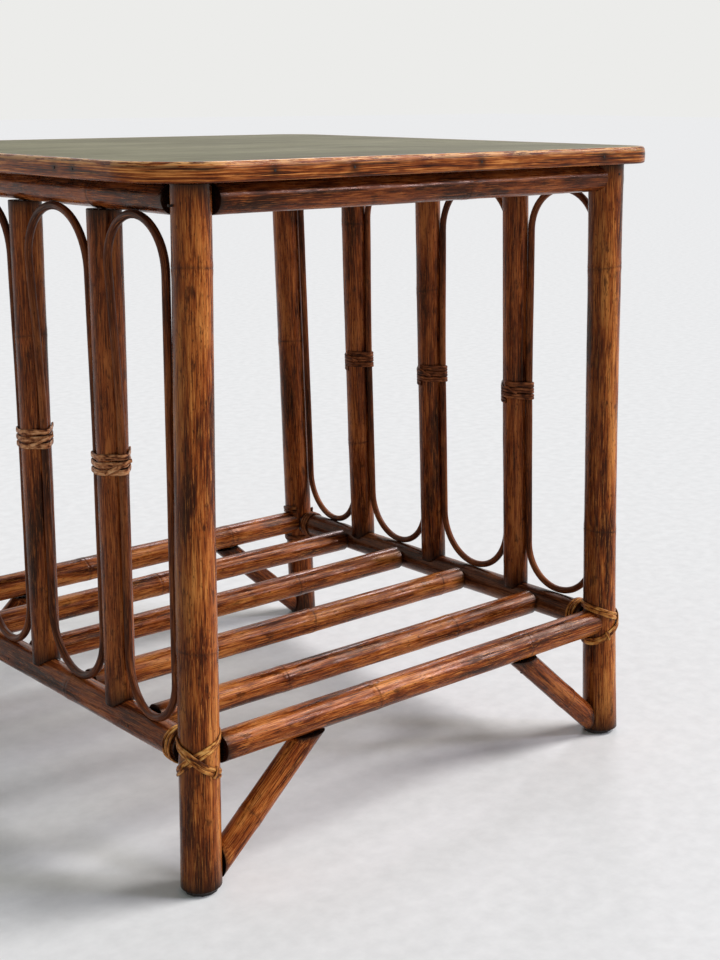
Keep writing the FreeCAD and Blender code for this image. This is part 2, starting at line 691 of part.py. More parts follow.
def rectangle_body(name, length, depth, height, z, inset):
    """A slab centred on the table, each upright corner rounded in plan with its own radius."""
    body = doc.addObject("PartDesign::Body", name)
    plane = [item for item in body.Origin.OriginFeatures if item.Role == "XY_Plane"][0]
    sketch = body.newObject("Sketcher::SketchObject", name + "_outline")
    sketch.AttachmentSupport = [(plane, "")]
    sketch.MapMode = "FlatFace"
    half_x, half_y = size("top_length") / 2, size("top_depth") / 2
    corners = [Vector(-half_x, -half_y, 0), Vector(half_x, -half_y, 0),
               Vector(half_x, half_y, 0), Vector(-half_x, half_y, 0)]
    for start, stop in zip(corners, corners[1:] + corners[:1]):
        sketch.addGeometry(Part.LineSegment(start, stop), False)
    for line in range(4):
        sketch.addConstraint(Sketcher.Constraint("Coincident", line, 2, (line + 1) % 4, 1))
        sketch.addConstraint(Sketcher.Constraint("Vertical" if line % 2 else "Horizontal", line))
    sketch.addConstraint(Sketcher.Constraint("Symmetric", 0, 1, 2, 1, -1, 1))
    for line, label, formula in ((0, "length", length), (1, "depth", depth)):
        number = sketch.addConstraint(Sketcher.Constraint("Distance", line, 2 * half_x if line == 0 else 2 * half_y))
        sketch.renameConstraint(number, label)
        bind(sketch, **{f"Constraints__{label}": formula})
    pad = body.newObject("PartDesign::Pad", name + "_slab")
    pad.Profile = sketch
    bind(pad, Length=height)
    bind(body, Placement__Base__z=z)
    slab = pad
    for number, (side, end, radius) in enumerate(TOP_CORNERS, start=1):
        doc.recompute()
        away = {}
        for edge_number, edge in enumerate(slab.Shape.Edges, start=1):
            if abs(edge.tangentAt(edge.FirstParameter).z) > 0.9:
                centre = edge.CenterOfMass
                away[f"Edge{edge_number}"] = math.hypot(centre.x - side * half_x, centre.y - end * half_y)
        rounding = body.newObject("PartDesign::Fillet", f"{name}_corner_{number}")
        rounding.Base = (slab, [min(away, key=away.get)])
        bind(rounding, Radius=f"{radius} - {inset}")
        slab = rounding
    body.Tip = slab
    return body


INNER_LENGTH = "top_length - 2 * band_thickness"
INNER_DEPTH = "top_depth - 2 * band_thickness"

outer = rectangle_body("top_outer", "top_length", "top_depth", "top_thickness", BOARD_UNDERSIDE, "0")
doc.recompute()
outer_corners = outer.Tip
outline_edges = [f"Edge{number}" for number, edge in enumerate(outer_corners.Shape.Edges, start=1)
                 if abs(edge.tangentAt(edge.FirstParameter).z) < 0.1]
arris = outer.newObject("PartDesign::Chamfer", "top_arris")
arris.Base = (outer_corners, outline_edges)
bind(arris, Size="band_easing")
outer.Tip = arris
inner = rectangle_body("top_inner", INNER_LENGTH, INNER_DEPTH, "2 * top_thickness",
                       f"{BOARD_UNDERSIDE} - top_thickness / 2", "band_thickness")
board = rectangle_body("board_slab", INNER_LENGTH, INNER_DEPTH, "top_thickness - face_thickness",
                       BOARD_UNDERSIDE, "band_thickness")
face = rectangle_body("face_sheet", INNER_LENGTH, INNER_DEPTH, "face_thickness",
                      "table_height - face_thickness", "band_thickness")
keep(face, "face_sheet")


def edge_pins(purpose, wider):
    """Square pins through the edge band, flush with its outer face."""
    section = f"(pin_size + 2 * {wider})"
    low = f"table_height - top_thickness / 2 - {section} / 2"
    pins = []
    for edge_name, shares in EDGE_PIN_SHARES.items():
        for number, share in enumerate(shares, start=1):
            name = f"{purpose}_{edge_name}_{number}"
            if edge_name in ("front", "back"):
                x = f"({share} - 0.5) * top_length - {section} / 2"
                y = "-top_depth / 2" if edge_name == "front" else "top_depth / 2 - edge_pin_length"
                pins.append(box(name, x, section, y, "edge_pin_length", low, section))
            else:
                y = f"({share} - 0.5) * top_depth - {section} / 2"
                x = "-top_length / 2" if edge_name == "left" else "top_length / 2 - edge_pin_length"
                pins.append(box(name, x, "edge_pin_length", y, section, low, section))
    return pins


keep(group("edge_pins", edge_pins("edge_pin", "0")), "edge_pins")
edge_holes = group("edge_holes", edge_pins("edge_hole", "pin_clearance"))
screw_holes = group("board_screw_holes", [part for side, side_name in SIDES for end, end_name in ENDS
                                          for part in screw(f"board_hole_{end_name}_{side_name}", side, end,
                                                            "pin_clearance")[1:]])
keep(cut("top_board", board, [edge_holes, screw_holes]), "top_board")
for end, end_name in ENDS:
    name = f"edge_band_{end_name}"
    low_y = "-top_depth" if end == FRONT else "0"
    room = box(name + "_room", "-top_length", "2 * top_length", low_y, "top_depth", "0", "2 * table_height")
    half = doc.addObject("Part::Common", name + "_half")
    half.Base = outer
    half.Tool = room
    keep(cut(name, half, [inner, edge_holes]), name)

# Glides: a low disc under each leg.
glides = [prism(f"glide_{end_name}_{side_name}", GLIDE_CORNERS, "glide_radius", "glide_height",
                f"{side} * {HALF_SPAN_X}", f"{end} * {HALF_SPAN_Y}")
          for side, side_name in SIDES for end, end_name in ENDS]
keep(group("glides", glides), "glides")

doc.recompute()

faults = [thing.Name for thing in doc.Objects if "Invalid" in thing.State or "Error" in thing.State]
for piece in sub_parts:
    if piece.Shape.isNull() or not piece.Shape.isValid() or not piece.Shape.Solids:
        faults.append(piece.Label)
if faults:
    raise RuntimeError("faulty objects: " + ", ".join(sorted(set(faults))))

os.makedirs("parts", exist_ok=True)
for piece in sub_parts:
    piece.Shape.exportStep(f"parts/{piece.Label}.step")
print(f"{len(sub_parts)} sub-parts written")
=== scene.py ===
import random
from math import asin, ceil, cos, exp, pi, radians, sin, sqrt, tan

import bpy
from mathutils import Euler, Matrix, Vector, noise
from mathutils.kdtree import KDTree


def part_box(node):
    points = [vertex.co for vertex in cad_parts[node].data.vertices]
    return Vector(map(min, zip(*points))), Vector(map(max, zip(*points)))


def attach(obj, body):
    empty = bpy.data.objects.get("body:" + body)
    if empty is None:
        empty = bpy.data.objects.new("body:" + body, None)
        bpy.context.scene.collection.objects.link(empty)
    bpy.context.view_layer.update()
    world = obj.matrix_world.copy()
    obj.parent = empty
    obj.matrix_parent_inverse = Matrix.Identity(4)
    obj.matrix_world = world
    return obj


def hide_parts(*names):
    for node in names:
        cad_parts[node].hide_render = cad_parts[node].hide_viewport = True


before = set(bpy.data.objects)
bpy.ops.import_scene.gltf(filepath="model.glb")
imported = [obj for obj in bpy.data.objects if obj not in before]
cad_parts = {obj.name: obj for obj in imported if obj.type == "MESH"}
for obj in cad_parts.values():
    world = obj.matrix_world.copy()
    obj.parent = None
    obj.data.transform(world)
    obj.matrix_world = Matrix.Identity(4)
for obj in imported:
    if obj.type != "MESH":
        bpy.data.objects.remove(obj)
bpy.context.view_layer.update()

scene = bpy.context.scene

# The finish of a rattan side table, in metres, in the frame of its solids.
MM = 0.001
LEFT, RIGHT = -1, 1
FRONT, BACK = -1, 1
SIDES = ((LEFT, "left"), (RIGHT, "right"))
ENDS = ((FRONT, "front"), (BACK, "back"))
CORNERS = [(side, end, f"{end_name}_{side_name}") for side, side_name in SIDES for end, end_name in ENDS]
BAYS = 4
TO_RIGHT, TO_BACK, UP = Vector((1, 0, 0)), Vector((0, 1, 0)), Vector((0, 0, 1))
TURN = 2 * pi

# sizes that the boxes of the solids don't give
SPLAY = radians(1.35)
LEG_RADIUS = 16 * MM
UPPER_RAIL_RADIUS = 12 * MM
LOWER_RAIL_RADIUS = 13 * MM
SLAT_RADIUS = 12 * MM
POST_RADIUS = 13 * MM
CANE_RADIUS = 3.3 * MM
BRACE_RADIUS = 11 * MM
BRACE_FOOT_HEIGHT = 18 * MM
BRACE_REACH = 110 * MM
BINDING_HEIGHT = 328 * MM
STRIP_THICKNESS = 1.2 * MM
BAND_THICKNESS = 6 * MM
CORNER_RADII = {
    (LEFT, FRONT): 62 * MM, (RIGHT, FRONT): 30 * MM,
    (LEFT, BACK): 40 * MM, (RIGHT, BACK): 40 * MM,
}

# clearances: where poles meet, where a head almost touches, and under a strip
SEAT = 0.3 * MM
HAIRLINE = 0.1 * MM
STRIP_CLEARANCE = 0.4 * MM

# places read from the boxes of the solids
TOP_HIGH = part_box("edge_band_back")[1]
BOARD_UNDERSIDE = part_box("top_board")[0].z
FACE_LOW, FACE_HIGH = (corner.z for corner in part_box("face_sheet"))
GLIDE_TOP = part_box("glides")[1].z
LEG_LOW, LEG_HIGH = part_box("leg_front_left")
HALF_SPAN_Y = -(LEG_LOW.y + LEG_HIGH.y) / 2
FOOT_X = -LEG_LOW.x - LEG_RADIUS / cos(SPLAY) + GLIDE_TOP * tan(SPLAY)
POST_Y = [sum(corner.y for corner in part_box(f"post_left_{number}")) / 2 for number in range(1, BAYS)]
POLE_Y = [-HALF_SPAN_Y, *POST_Y, HALF_SPAN_Y]


def height_of(node):
    """Height of a side rail's axis, measured along its leaning panel."""
    low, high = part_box(node)
    return (low.z + high.z) / 2 / cos(SPLAY)


UPPER_RAIL_HEIGHT = height_of("upper_side_rail_left")
LOWER_RAIL_HEIGHT = height_of("lower_side_rail_left")


def panel_point(side, y, height, out=0.0):
    """A point of a side panel, from its height along the panel and its distance out from it."""
    return Vector((side * (FOOT_X - height * sin(SPLAY) + out * cos(SPLAY)), y,
                   height * cos(SPLAY) + out * sin(SPLAY)))


def panel_up(side):
    return Vector((-side * sin(SPLAY), 0, cos(SPLAY)))


def panel_out(side):
    return Vector((side * cos(SPLAY), 0, sin(SPLAY)))


# Meshes
SHARP_ANGLE = radians(38)


def add_object(name, data):
    thing = bpy.data.objects.new(name, data)
    scene.collection.objects.link(thing)
    return thing


def add_piece(node, kind, vertices, faces, marks, material):
    """A piece in the place of a CAD node. Marks are numbers or vectors per vertex for the material."""
    name = f"{node}_{kind}"
    mesh = bpy.data.meshes.new(name)
    mesh.from_pydata(vertices, [], faces)
    for label, values in marks.items():
        if label == "grain":
            flat = [part for value in values for part in value]
            mesh.attributes.new(label, "FLOAT_VECTOR", "POINT").data.foreach_set("vector", flat)
        else:
            mesh.attributes.new(label, "FLOAT", "POINT").data.foreach_set("value", values)
    mesh.validate()
    mesh.shade_smooth()
    mesh.set_sharp_from_angle(angle=SHARP_ANGLE)
    mesh.materials.append(material)
    piece = add_object(name, mesh)
    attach(piece, "root")
    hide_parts(node)


def skin(rings):
    """Faces that join rows of vertices, each row closed on itself, with one face over each end."""
    count = len(rings[0])
    faces = [tuple(reversed(rings[0])), tuple(rings[-1])]
    for this, following in zip(rings, rings[1:]):
        for k in range(count):
            after = (k + 1) % count
            faces.append((this[k], this[after], following[after], following[k]))
    return faces


def wander(*values):
    """Smooth noise from -1 to 1 at a place."""
    return noise.noise(Vector(values))


def grain_offset(draw):
    """Where a piece lies in the grain's noise, so that no two pieces look alike."""
    return Vector([draw.uniform(-9, 9) for _ in range(3)])


def walk(stations):
    """Each station's point and outward direction, the way ahead, the length so far and if it is an end."""
    along = 0.0
    last = len(stations) - 1
    for number, (point, outward) in enumerate(stations):
        before = stations[max(number - 1, 0)][0]
        after = stations[min(number + 1, last)][0]
        along += (point - before).length
        yield point, outward, (after - before).normalized(), along, number in (0, last)


# Poles: peeled rattan with growth rings, slight bends and trimmed ends
POLE_SIDES = 48
ROW_SPACING = 5 * MM
EDGE_ROUND = 0.5 * MM
END_ZONE = 45 * MM
BROAD_WAVES, FINE_WAVES = 0.30 * MM, 0.16 * MM
# a growth ring runs a little aslant: a bulge, a groove and a dark line, with rows of the mesh close by
RING_SLANT = 1.6 * MM
RING_BULGE, BULGE_SPREAD = 0.36 * MM, 5 * MM
RING_GROOVE, GROOVE_SPREAD = 0.22 * MM, 0.7 * MM
RING_LINE_SPREAD = 1.1 * MM
RING_ROWS = [step * MM for step in (-7, -4, -2.2, -1.2, -0.6, 0, 0.6, 1.2, 2.2, 4, 7)]
# dark stain: how far it creeps from an end, and painted shade: how deep and how ragged it is down one side
STAIN_SPREAD = 12 * MM
WIDE_STAIN = 19 * MM
SIDE_SHADE_DEPTH, SIDE_SHADE_WAVER, SIDE_SHADE_BLEND = 0.42, 0.22, 0.4
POST_FOOT_BLUNT = 7.5 * MM


def saddle(pole_point, pole_axis, radius):
    """Where a line along a rail meets the surface of the pole that it butts against."""
    def reach(point, direction):
        across = direction - pole_axis * direction.dot(pole_axis)
        offset = point - pole_point
        offset -= pole_axis * offset.dot(pole_axis)
        a, b = across.dot(across), offset.dot(across)
        inside = max(b * b - a * (offset.dot(offset) - radius * radius), 0)
        return (-b - sqrt(inside)) / a
    return reach


def flat_cut(plane_point, plane_normal):
    """Where a line along a rail meets the plane of a straight saw cut."""
    def reach(point, direction):
        return (plane_point - point).dot(plane_normal) / direction.dot(plane_normal)
    return reach


def over_rail(side, height):
    """Where a line down a post meets the side rail below it, its thin lips cut blunt."""
    def reach(point, direction):
        aside = (point - panel_point(side, point.y, height)).dot(panel_out(side))
        rise = sqrt(max((LOWER_RAIL_RADIUS + SEAT) ** 2 - aside ** 2, 0))
        return max(rise, POST_FOOT_BLUNT)
    return reach


def bell(distance, spread):
    """1 at no distance, falling to 0 beyond the spread."""
    return exp(-(distance / spread) ** 2)


def pole(node, start, end, radii, joints=(), trims=(None, None), seed=0, bow=0.0, lean=None,
         material=None, stains=(STAIN_SPREAD, STAIN_SPREAD), shaded_side=None):
    """A rattan pole from start to end. A trim says how far along each line of it an end lies."""
    axis = end - start
    length = axis.length
    axis.normalize()
    helper = UP if abs(axis.z) < 0.9 else TO_BACK
    across = axis.cross(helper).normalized()
    third = axis.cross(across).normalized()
    draw = random.Random(seed)
    offset = grain_offset(draw)
    bow_angle = draw.uniform(0, TURN)
    sway = across * cos(bow_angle) + third * sin(bow_angle)
    foot_radius, middle_radius, head_radius = radii
    zone = min(END_ZONE, length / 2)
    spaces = round(length / ROW_SPACING)
    stops = {0.0, EDGE_ROUND, length - EDGE_ROUND, length}
    stops.update(length * k / spaces for k in range(1, spaces))
    for joint in joints:
        stops.update(joint + step for step in RING_ROWS)
    stops = sorted(stop for stop in stops if 0 <= stop <= length)
    vertices, rings, grain, ring_lines, tips = [], [], [], [], []
    for stop in stops:
        ring = []
        share = stop / length
        middle = sway * (bow * sin(pi * share))
        if lean:
            middle += lean(share)
        thickness = foot_radius + (head_radius - foot_radius) * share
        thickness += 4 * share * (1 - share) * (middle_radius - (foot_radius + head_radius) / 2)
        if stop in (stops[0], stops[-1]):
            thickness -= EDGE_ROUND
        for k in range(POLE_SIDES):
            angle = TURN * k / POLE_SIDES
            outward = across * cos(angle) + third * sin(angle)
            width = thickness
            width += BROAD_WAVES * wander(cos(angle) * 1.1 + offset.x, sin(angle) * 1.1, stop * 8)
            width += FINE_WAVES * wander(cos(angle) * 4, sin(angle) * 4 + offset.y, stop * 22)
            mark = 0.0
            for joint in joints:
                away = stop - joint - RING_SLANT * sin(angle + joint * 40)
                width += RING_BULGE * bell(away, BULGE_SPREAD)
                width -= RING_GROOVE * bell(away, GROOVE_SPREAD)
                mark = max(mark, bell(away, RING_LINE_SPREAD))
            spot = outward * width
            line = start + spot
            along = stop
            if trims[0] and stop < zone:
                near = trims[0](line, axis)
                along = near + stop * (zone - near) / zone
            if trims[1] and stop > length - zone:
                far = length - trims[1](line + axis * length, -axis)
                along = far - (length - stop) * (far - length + zone) / zone
            ring.append(len(vertices))
            vertices.append(line + axis * along + middle)
            grain.append(Vector((spot.dot(across), spot.dot(third), stop)) + offset)
            ring_lines.append(mark)
            stain = max(exp(-stop / stains[0]), exp((stop - length) / stains[1]))
            # painted shade down one side of the pole, carried in the same mark as the end stain
            if shaded_side:
                turned = outward.dot(shaded_side) + SIDE_SHADE_WAVER * wander(stop * 9, offset.x, 2)
                stain = max(stain, SIDE_SHADE_DEPTH * min(max(turned / SIDE_SHADE_BLEND, 0), 1))
            tips.append(stain)
        rings.append(ring)
    add_piece(node, "pole", vertices, skin(rings), {"grain": grain, "ring": ring_lines, "tip": tips},
              material or RATTAN)


# Canes and strips follow a row of stations: a point and the outward direction there
CANE_SIDES = 18
CANE_UNEVENNESS = 0.035
CANE_TIP_SHARE = 0.9


def cane(node, stations, seed):
    """Round cane along its stations."""
    vertices, rings, grain, tips = [], [], [], []
    offset = grain_offset(random.Random(seed))
    for point, outward, ahead, along, at_end in walk(stations):
        out = (outward - ahead * outward.dot(ahead)).normalized()
        beside = ahead.cross(out)
        ring = []
        for k in range(CANE_SIDES):
            angle = TURN * k / CANE_SIDES
            width = CANE_RADIUS * (1 + CANE_UNEVENNESS * wander(along * 25, cos(angle), offset.x))
            if at_end:
                width *= CANE_TIP_SHARE
            x, y = cos(angle) * width, sin(angle) * width
            ring.append(len(vertices))
            vertices.append(point + out * x + beside * y)
            grain.append(Vector((x, y, along)) + offset)
            tips.append(1.0 if at_end else 0.0)
        rings.append(ring)
    add_piece(node, "cane", vertices, skin(rings), {"grain": grain, "tip": tips}, CANE)


# section of a strip, as shares of its half width and half thickness
CROWNED_SECTION = ((-0.90, -1.0), (0.90, -1.0), (1.0, -0.2), (0.86, 0.55), (0.55, 0.88), (0.2, 1.0),
                   (-0.2, 1.0), (-0.55, 0.88), (-0.86, 0.55), (-1.0, -0.2))
# how much a rough strip varies in width, strays sideways and varies in thickness
STRIP_WIDENING, STRIP_STRAYING, STRIP_LUMPS = 0.20, 0.40 * MM, 0.40
# height on the section below which a strip is dark: its cut edge, and painted shade in the gaps between turns
DARK_EDGE_BELOW = 0.62


def ribbon(stations, width, thickness, seed, roughness=1.0, aside=0.0):
    """Split cane with a crowned face, laid along its stations or aside of them. Returns mesh data."""
    vertices, rings, grain, tips = [], [], [], []
    offset = grain_offset(random.Random(seed))
    for point, outward, ahead, along, _ in walk(stations):
        across = ahead.cross(outward).normalized()
        out = across.cross(ahead).normalized()
        widen = 1 + roughness * STRIP_WIDENING * wander(along * 55, offset.x, 0)
        shift = aside + roughness * STRIP_STRAYING * wander(along * 28, offset.y, 5)
        ring = []
        for a, b in CROWNED_SECTION:
            rise = b
            if b > 0:
                rise *= 1 + roughness * STRIP_LUMPS * wander(along * 150, a * 1.5, offset.z)
            ring.append(len(vertices))
            vertices.append(point + across * (width / 2 * a * widen + shift) + out * (thickness / 2 * rise))
            grain.append(Vector((a * width / 2, b * thickness / 2, along)) + offset)
            tips.append(min(max(DARK_EDGE_BELOW - b, 0.0), 1.0))
        rings.append(list(reversed(ring)))
    return vertices, rings, grain, tips


def ribbons(node, parts, material):
    """One piece made of several ribbons."""
    vertices, faces, grain, tips = [], [], [], []
    for points, rings, places, ends in parts:
        base = len(vertices)
        vertices += points
        faces += [tuple(base + index for index in face) for face in skin(rings)]
        grain += places
        tips += ends
    add_piece(node, "cane", vertices, faces, {"grain": grain, "tip": tips}, material)


# Materials
POLE_SHINE = 0.22
BAND_SHINE = 0.18
TOP_SHINE = 0.16
# lacquer over stained fibres: reflections seen square on are warm, grazing ones white
LACQUER_TINT = (1.0, 0.58, 0.40, 1.0)


def srgb(red, green, blue):
    """A colour given as 0 to 255 on a screen, as the shader takes it."""
    def linear(value):
        value /= 255
        return value / 12.92 if value <= 0.04045 else ((value + 0.055) / 1.055) ** 2.4
    return (linear(red), linear(green), linear(blue), 1.0)


class Nodes:
    """Short calls that add and wire the nodes of a tree."""

    def __init__(self, tree):
        self.tree = tree

    def add(self, kind, inputs=None, **settings):
        node = self.tree.nodes.new(kind)
        for key, value in settings.items():
            setattr(node, key, value)
        for key, value in (inputs or {}).items():
            self.feed(node.inputs[key], value)
        return node

    def feed(self, socket, value):
        if isinstance(value, bpy.types.NodeSocket):
            self.tree.links.new(value, socket)
        else:
            socket.default_value = value

    def math(self, operation, a, b, c=0.0):
        return self.add("ShaderNodeMath", {0: a, 1: b, 2: c}, operation=operation).outputs[0]

    def total(self, *parts):
        """Values added up, each times its share."""
        added = 0.0
        for value, share in parts:
            added = self.math("MULTIPLY_ADD", value, share, added)
        return added

    def between(self, value, low, high, out_low=0.0, out_high=1.0):
        """A value's place between low and high, eased, as one between the two results."""
        return self.add("ShaderNodeMapRange", {"Value": value, "From Min": low, "From Max": high,
                                               "To Min": out_low, "To Max": out_high},
                        interpolation_type="SMOOTHSTEP").outputs[0]

    def noise(self, vector, scale, detail, rough, distortion=0.0):
        """Noise in waves per metre, one number for each direction of the vector."""
        scaled = self.add("ShaderNodeVectorMath", {0: vector, 1: scale}, operation="MULTIPLY").outputs[0]
        return self.add("ShaderNodeTexNoise", {"Vector": scaled, "Scale": 1.0, "Detail": detail,
                                               "Roughness": rough, "Distortion": distortion}).outputs["Fac"]

    def mix(self, factor, first, second):
        """One colour over another. Sockets 0, 6 and 7 and output 2 are those for colours."""
        return self.add("ShaderNodeMix", {0: factor, 6: first, 7: second}, data_type="RGBA").outputs[2]

    def ramp(self, value, *stops):
        node = self.add("ShaderNodeValToRGB", {"Fac": value})
        band = node.color_ramp
        band.elements[0].position, band.elements[0].color = stops[0]
        band.elements[1].position, band.elements[1].color = stops[-1]
        for place, colour in stops[1:-1]:
            band.elements.new(place).color = colour
        return node.outputs["Color"]

    def bump(self, height, strength, distance):
        return self.add("ShaderNodeBump", {"Height": height, "Strength": strength,
                                           "Distance": distance}).outputs["Normal"]


class Finish(Nodes):
    """The nodes of one material."""

    def __init__(self, name):
        self.material = bpy.data.materials.new(name)
        self.material.use_nodes = True
        super().__init__(self.material.node_tree)
        self.shader = self.tree.nodes["Principled BSDF"]

    def set(self, **inputs):
        for key, value in inputs.items():
            self.feed(self.shader.inputs[key.replace("_", " ")], value)

    def shine(self, level):
        self.set(Specular_IOR_Level=level, Specular_Tint=LACQUER_TINT)

    def mark(self, name):
        return self.add("ShaderNodeAttribute", attribute_name=name).outputs["Fac"]

    def grain(self):
        """Where a point is across and along the grain of its piece: two directions across, one along."""
        return self.add("ShaderNodeAttribute", attribute_name="grain").outputs["Vector"]

    def place(self):
        return self.add("ShaderNodeTexCoord").outputs["Object"]


def rattan(name, *stain, gloss=0.17):
    """Stained and lacquered rattan: brushed streaks, worn golden patches, darker rings, ends darkened by
    stain and partly by painted shade, and painted shade down one side of some legs.
    """
    dark, middle, light, gold = (srgb(*colour) for colour in stain)
    n = Finish(name)
    grain = n.grain()
    patches = n.noise(grain, (50, 50, 11), 3, 0.55)
    bands = n.noise(grain, (240, 240, 12), 3, 0.55, 0.3)
    streaks = n.noise(grain, (760, 760, 24), 4, 0.62)
    fibres = n.noise(grain, (1900, 1900, 55), 3, 0.6)
    flecks = n.noise(grain, (900, 900, 210), 2, 0.5)
    blotches = n.noise(grain, (120, 120, 48), 4, 0.62)
    tone = n.total((patches, 0.36), (bands, 0.22), (streaks, 0.26), (fibres, 0.16))
    colour = n.ramp(tone, (0.42, dark), (0.475, middle), (0.525, light), (0.59, gold))
    colour = n.mix(n.between(patches, 0.45, 0.33, 0.0, 0.55), colour, dark)
    colour = n.mix(n.between(fibres, 0.48, 0.36, 0.0, 0.7), colour, dark)
    colour = n.mix(n.between(fibres, 0.55, 0.66, 0.0, 0.8), colour, gold)
    colour = n.mix(n.between(flecks, 0.60, 0.70, 0.0, 0.7), colour, dark)
    colour = n.mix(n.between(blotches, 0.58, 0.70, 0.0, 0.7), colour, dark)
    ring = n.math("MULTIPLY", n.mark("ring"), n.between(blotches, 0.35, 0.6, 0.75, 0.30))
    colour = n.mix(ring, colour, srgb(34, 16, 10))
    # tip mark: stain at the ends, near-black end faces partly painted shade, and painted shade down one side
    # of some legs
    colour = n.mix(n.mark("tip"), colour, srgb(16, 8, 6))
    n.set(Base_Color=colour, Roughness=n.between(blotches, 0.38, 0.62, gloss + 0.20, gloss),
          Normal=n.bump(n.total((streaks, 0.6), (fibres, 0.4)), 0.28, 0.4 * MM))
    n.shine(POLE_SHINE)
    return n.material


def cane_strip(name, *stain):
    """Split cane: lined along its length, blotched with stain, its cut edges dark, which partly stands as
    painted shade in the gaps between turns.
    """
    dark, middle, light, gold = (srgb(*colour) for colour in stain)
    n = Finish(name)
    grain = n.grain()
    blotches = n.noise(grain, (260, 260, 120), 4, 0.62)
    lines = n.noise(grain, (1500, 1500, 60), 3, 0.6)
    tone = n.total((blotches, 0.72), (lines, 0.28))
    colour = n.ramp(tone, (0.41, dark), (0.46, middle), (0.53, light), (0.61, gold))
    colour = n.mix(n.between(lines, 0.42, 0.32, 0.0, 0.7), colour, dark)
    # tip mark: dark cut edges, partly painted shade in the gaps between turns
    colour = n.mix(n.mark("tip"), colour, srgb(26, 13, 8))
    n.set(Base_Color=colour, Roughness=n.between(blotches, 0.36, 0.64, 0.55, 0.32),
          Normal=n.bump(n.math("ADD", blotches, lines), 0.4, 0.4 * MM))
    n.shine(POLE_SHINE)
    return n.material


def band_cane(name):
    """Split rattan of the edge band: streaked stain, long cracks and an arris worn to gold."""
    n = Finish(name)
    grain = n.grain()
    patches = n.noise(grain, (70, 90, 26), 4, 0.6)
    streaks = n.noise(grain, (820, 820, 11), 5, 0.66)
    fibres = n.noise(grain, (2100, 2100, 34), 4, 0.66)
    scars = n.noise(grain, (560, 560, 13), 4, 0.62)
    chips = n.noise(grain, (420, 420, 46), 5, 0.7)
    tone = n.total((patches, 0.18), (streaks, 0.46), (fibres, 0.36))
    colour = n.ramp(tone, (0.425, srgb(40, 14, 6)), (0.475, srgb(100, 43, 16)), (0.525, srgb(150, 78, 32)),
                    (0.58, srgb(212, 138, 72)))
    colour = n.mix(n.between(scars, 0.56, 0.63, 0.0, 0.9), colour, srgb(28, 13, 8))
    worn = n.math("MULTIPLY", n.mark("wear"), n.between(chips, 0.47, 0.53))
    colour = n.mix(n.math("MULTIPLY", worn, 0.9), colour, srgb(230, 172, 108))
    colour = n.mix(n.math("MULTIPLY", n.mark("tip"), 0.8), colour, srgb(26, 13, 9))
    n.set(Base_Color=colour, Roughness=n.between(streaks, 0.38, 0.62, 0.30, 0.12),
          Normal=n.bump(n.total((fibres, 0.4), (streaks, 1.0)), 0.4, 0.45 * MM))
    n.shine(BAND_SHINE)
    return n.material


def top_face(name):
    """Stained face of the top: olive brown with fine straight figure under a satin lacquer, its green lean
    partly a painted reflection.
    """
    n = Finish(name)
    place = n.place()
    figure = n.noise(place, (7, 380, 7), 5, 0.6, 0.2)
    fine = n.noise(place, (40, 1400, 40), 3, 0.6)
    clouds = n.noise(place, (4, 9, 4), 3, 0.5)
    # colours lifted and leaning green: partly a painted reflection of pale green surroundings
    colour = n.ramp(n.total((clouds, 0.5), (figure, 0.5)),
                    (0.38, srgb(88, 85, 60)), (0.5, srgb(111, 109, 81)), (0.62, srgb(134, 131, 102)))
    colour = n.mix(n.between(fine, 0.52, 0.38, 0.0, 0.6), colour, srgb(66, 58, 38))
    n.set(Base_Color=colour, Roughness=n.between(figure, 0.35, 0.65, 0.66, 0.52),
          Specular_IOR_Level=TOP_SHINE, Normal=n.bump(n.math("ADD", figure, fine), 0.2, 0.2 * MM))
    return n.material


def board_wood(name):
    n = Finish(name)
    figure = n.noise(n.place(), (6, 120, 60), 5, 0.6, 0.4)
    colour = n.ramp(figure, (0.35, srgb(70, 42, 26)), (0.65, srgb(116, 78, 50)))
    n.set(Base_Color=colour, Roughness=0.7, Normal=n.bump(figure, 0.3, 0.3 * MM))
    return n.material


def dark_fitting(name, base, metallic, rough):
    """Pins, screws and glides: a dark base, browned in spots."""
    n = Finish(name)
    spots = n.noise(n.place(), (700, 700, 700), 4, 0.6)
    colour = n.mix(n.between(spots, 0.5, 0.65, 0.0, 0.6), base, srgb(46, 28, 20))
    n.set(Base_Color=colour, Metallic=metallic, Roughness=n.between(spots, 0.3, 0.7, rough, rough + 0.2),
          Normal=n.bump(spots, 0.2, 0.2 * MM))
    return n.material


# stains from dark to gold, as colours on a screen
RATTAN = rattan("rattan_pole", (42, 14, 5), (110, 46, 14), (158, 81, 31), (204, 130, 64))
RATTAN_DARK = rattan("rattan_pole_dark", (34, 12, 5), (90, 37, 13), (132, 64, 26), (172, 101, 50))
# a copy of the rattan darkened as painted shade, for the right lower side rail
RATTAN_SHADED = rattan("rattan_pole_shaded", (26, 10, 5), (62, 27, 12), (90, 46, 23), (124, 75, 42))
CANE = rattan("rattan_cane", (36, 14, 7), (72, 31, 13), (102, 51, 24), (138, 80, 42), gloss=0.34)
BINDING = cane_strip("cane_binding", (60, 26, 13), (142, 84, 50), (190, 130, 86), (222, 170, 124))
BINDING_DARK = cane_strip("cane_binding_dark", (38, 16, 8), (80, 39, 20), (112, 60, 32), (146, 88, 52))
LASHING = cane_strip("cane_lashing", (62, 27, 9), (138, 76, 30), (188, 122, 58), (224, 170, 96))
LASHING_DARK = cane_strip("cane_lashing_dark", (40, 17, 8), (84, 41, 19), (122, 68, 34), (158, 98, 54))
EDGE_BAND = band_cane("edge_band")
TOP_FACE = top_face("top_face")
BOARD_WOOD = board_wood("board_wood")
STEEL = dark_fitting("pin_steel", srgb(40, 33, 29), 0.6, 0.5)
GLIDE = dark_fitting("glide_plastic", srgb(32, 27, 24), 0.0, 0.5)


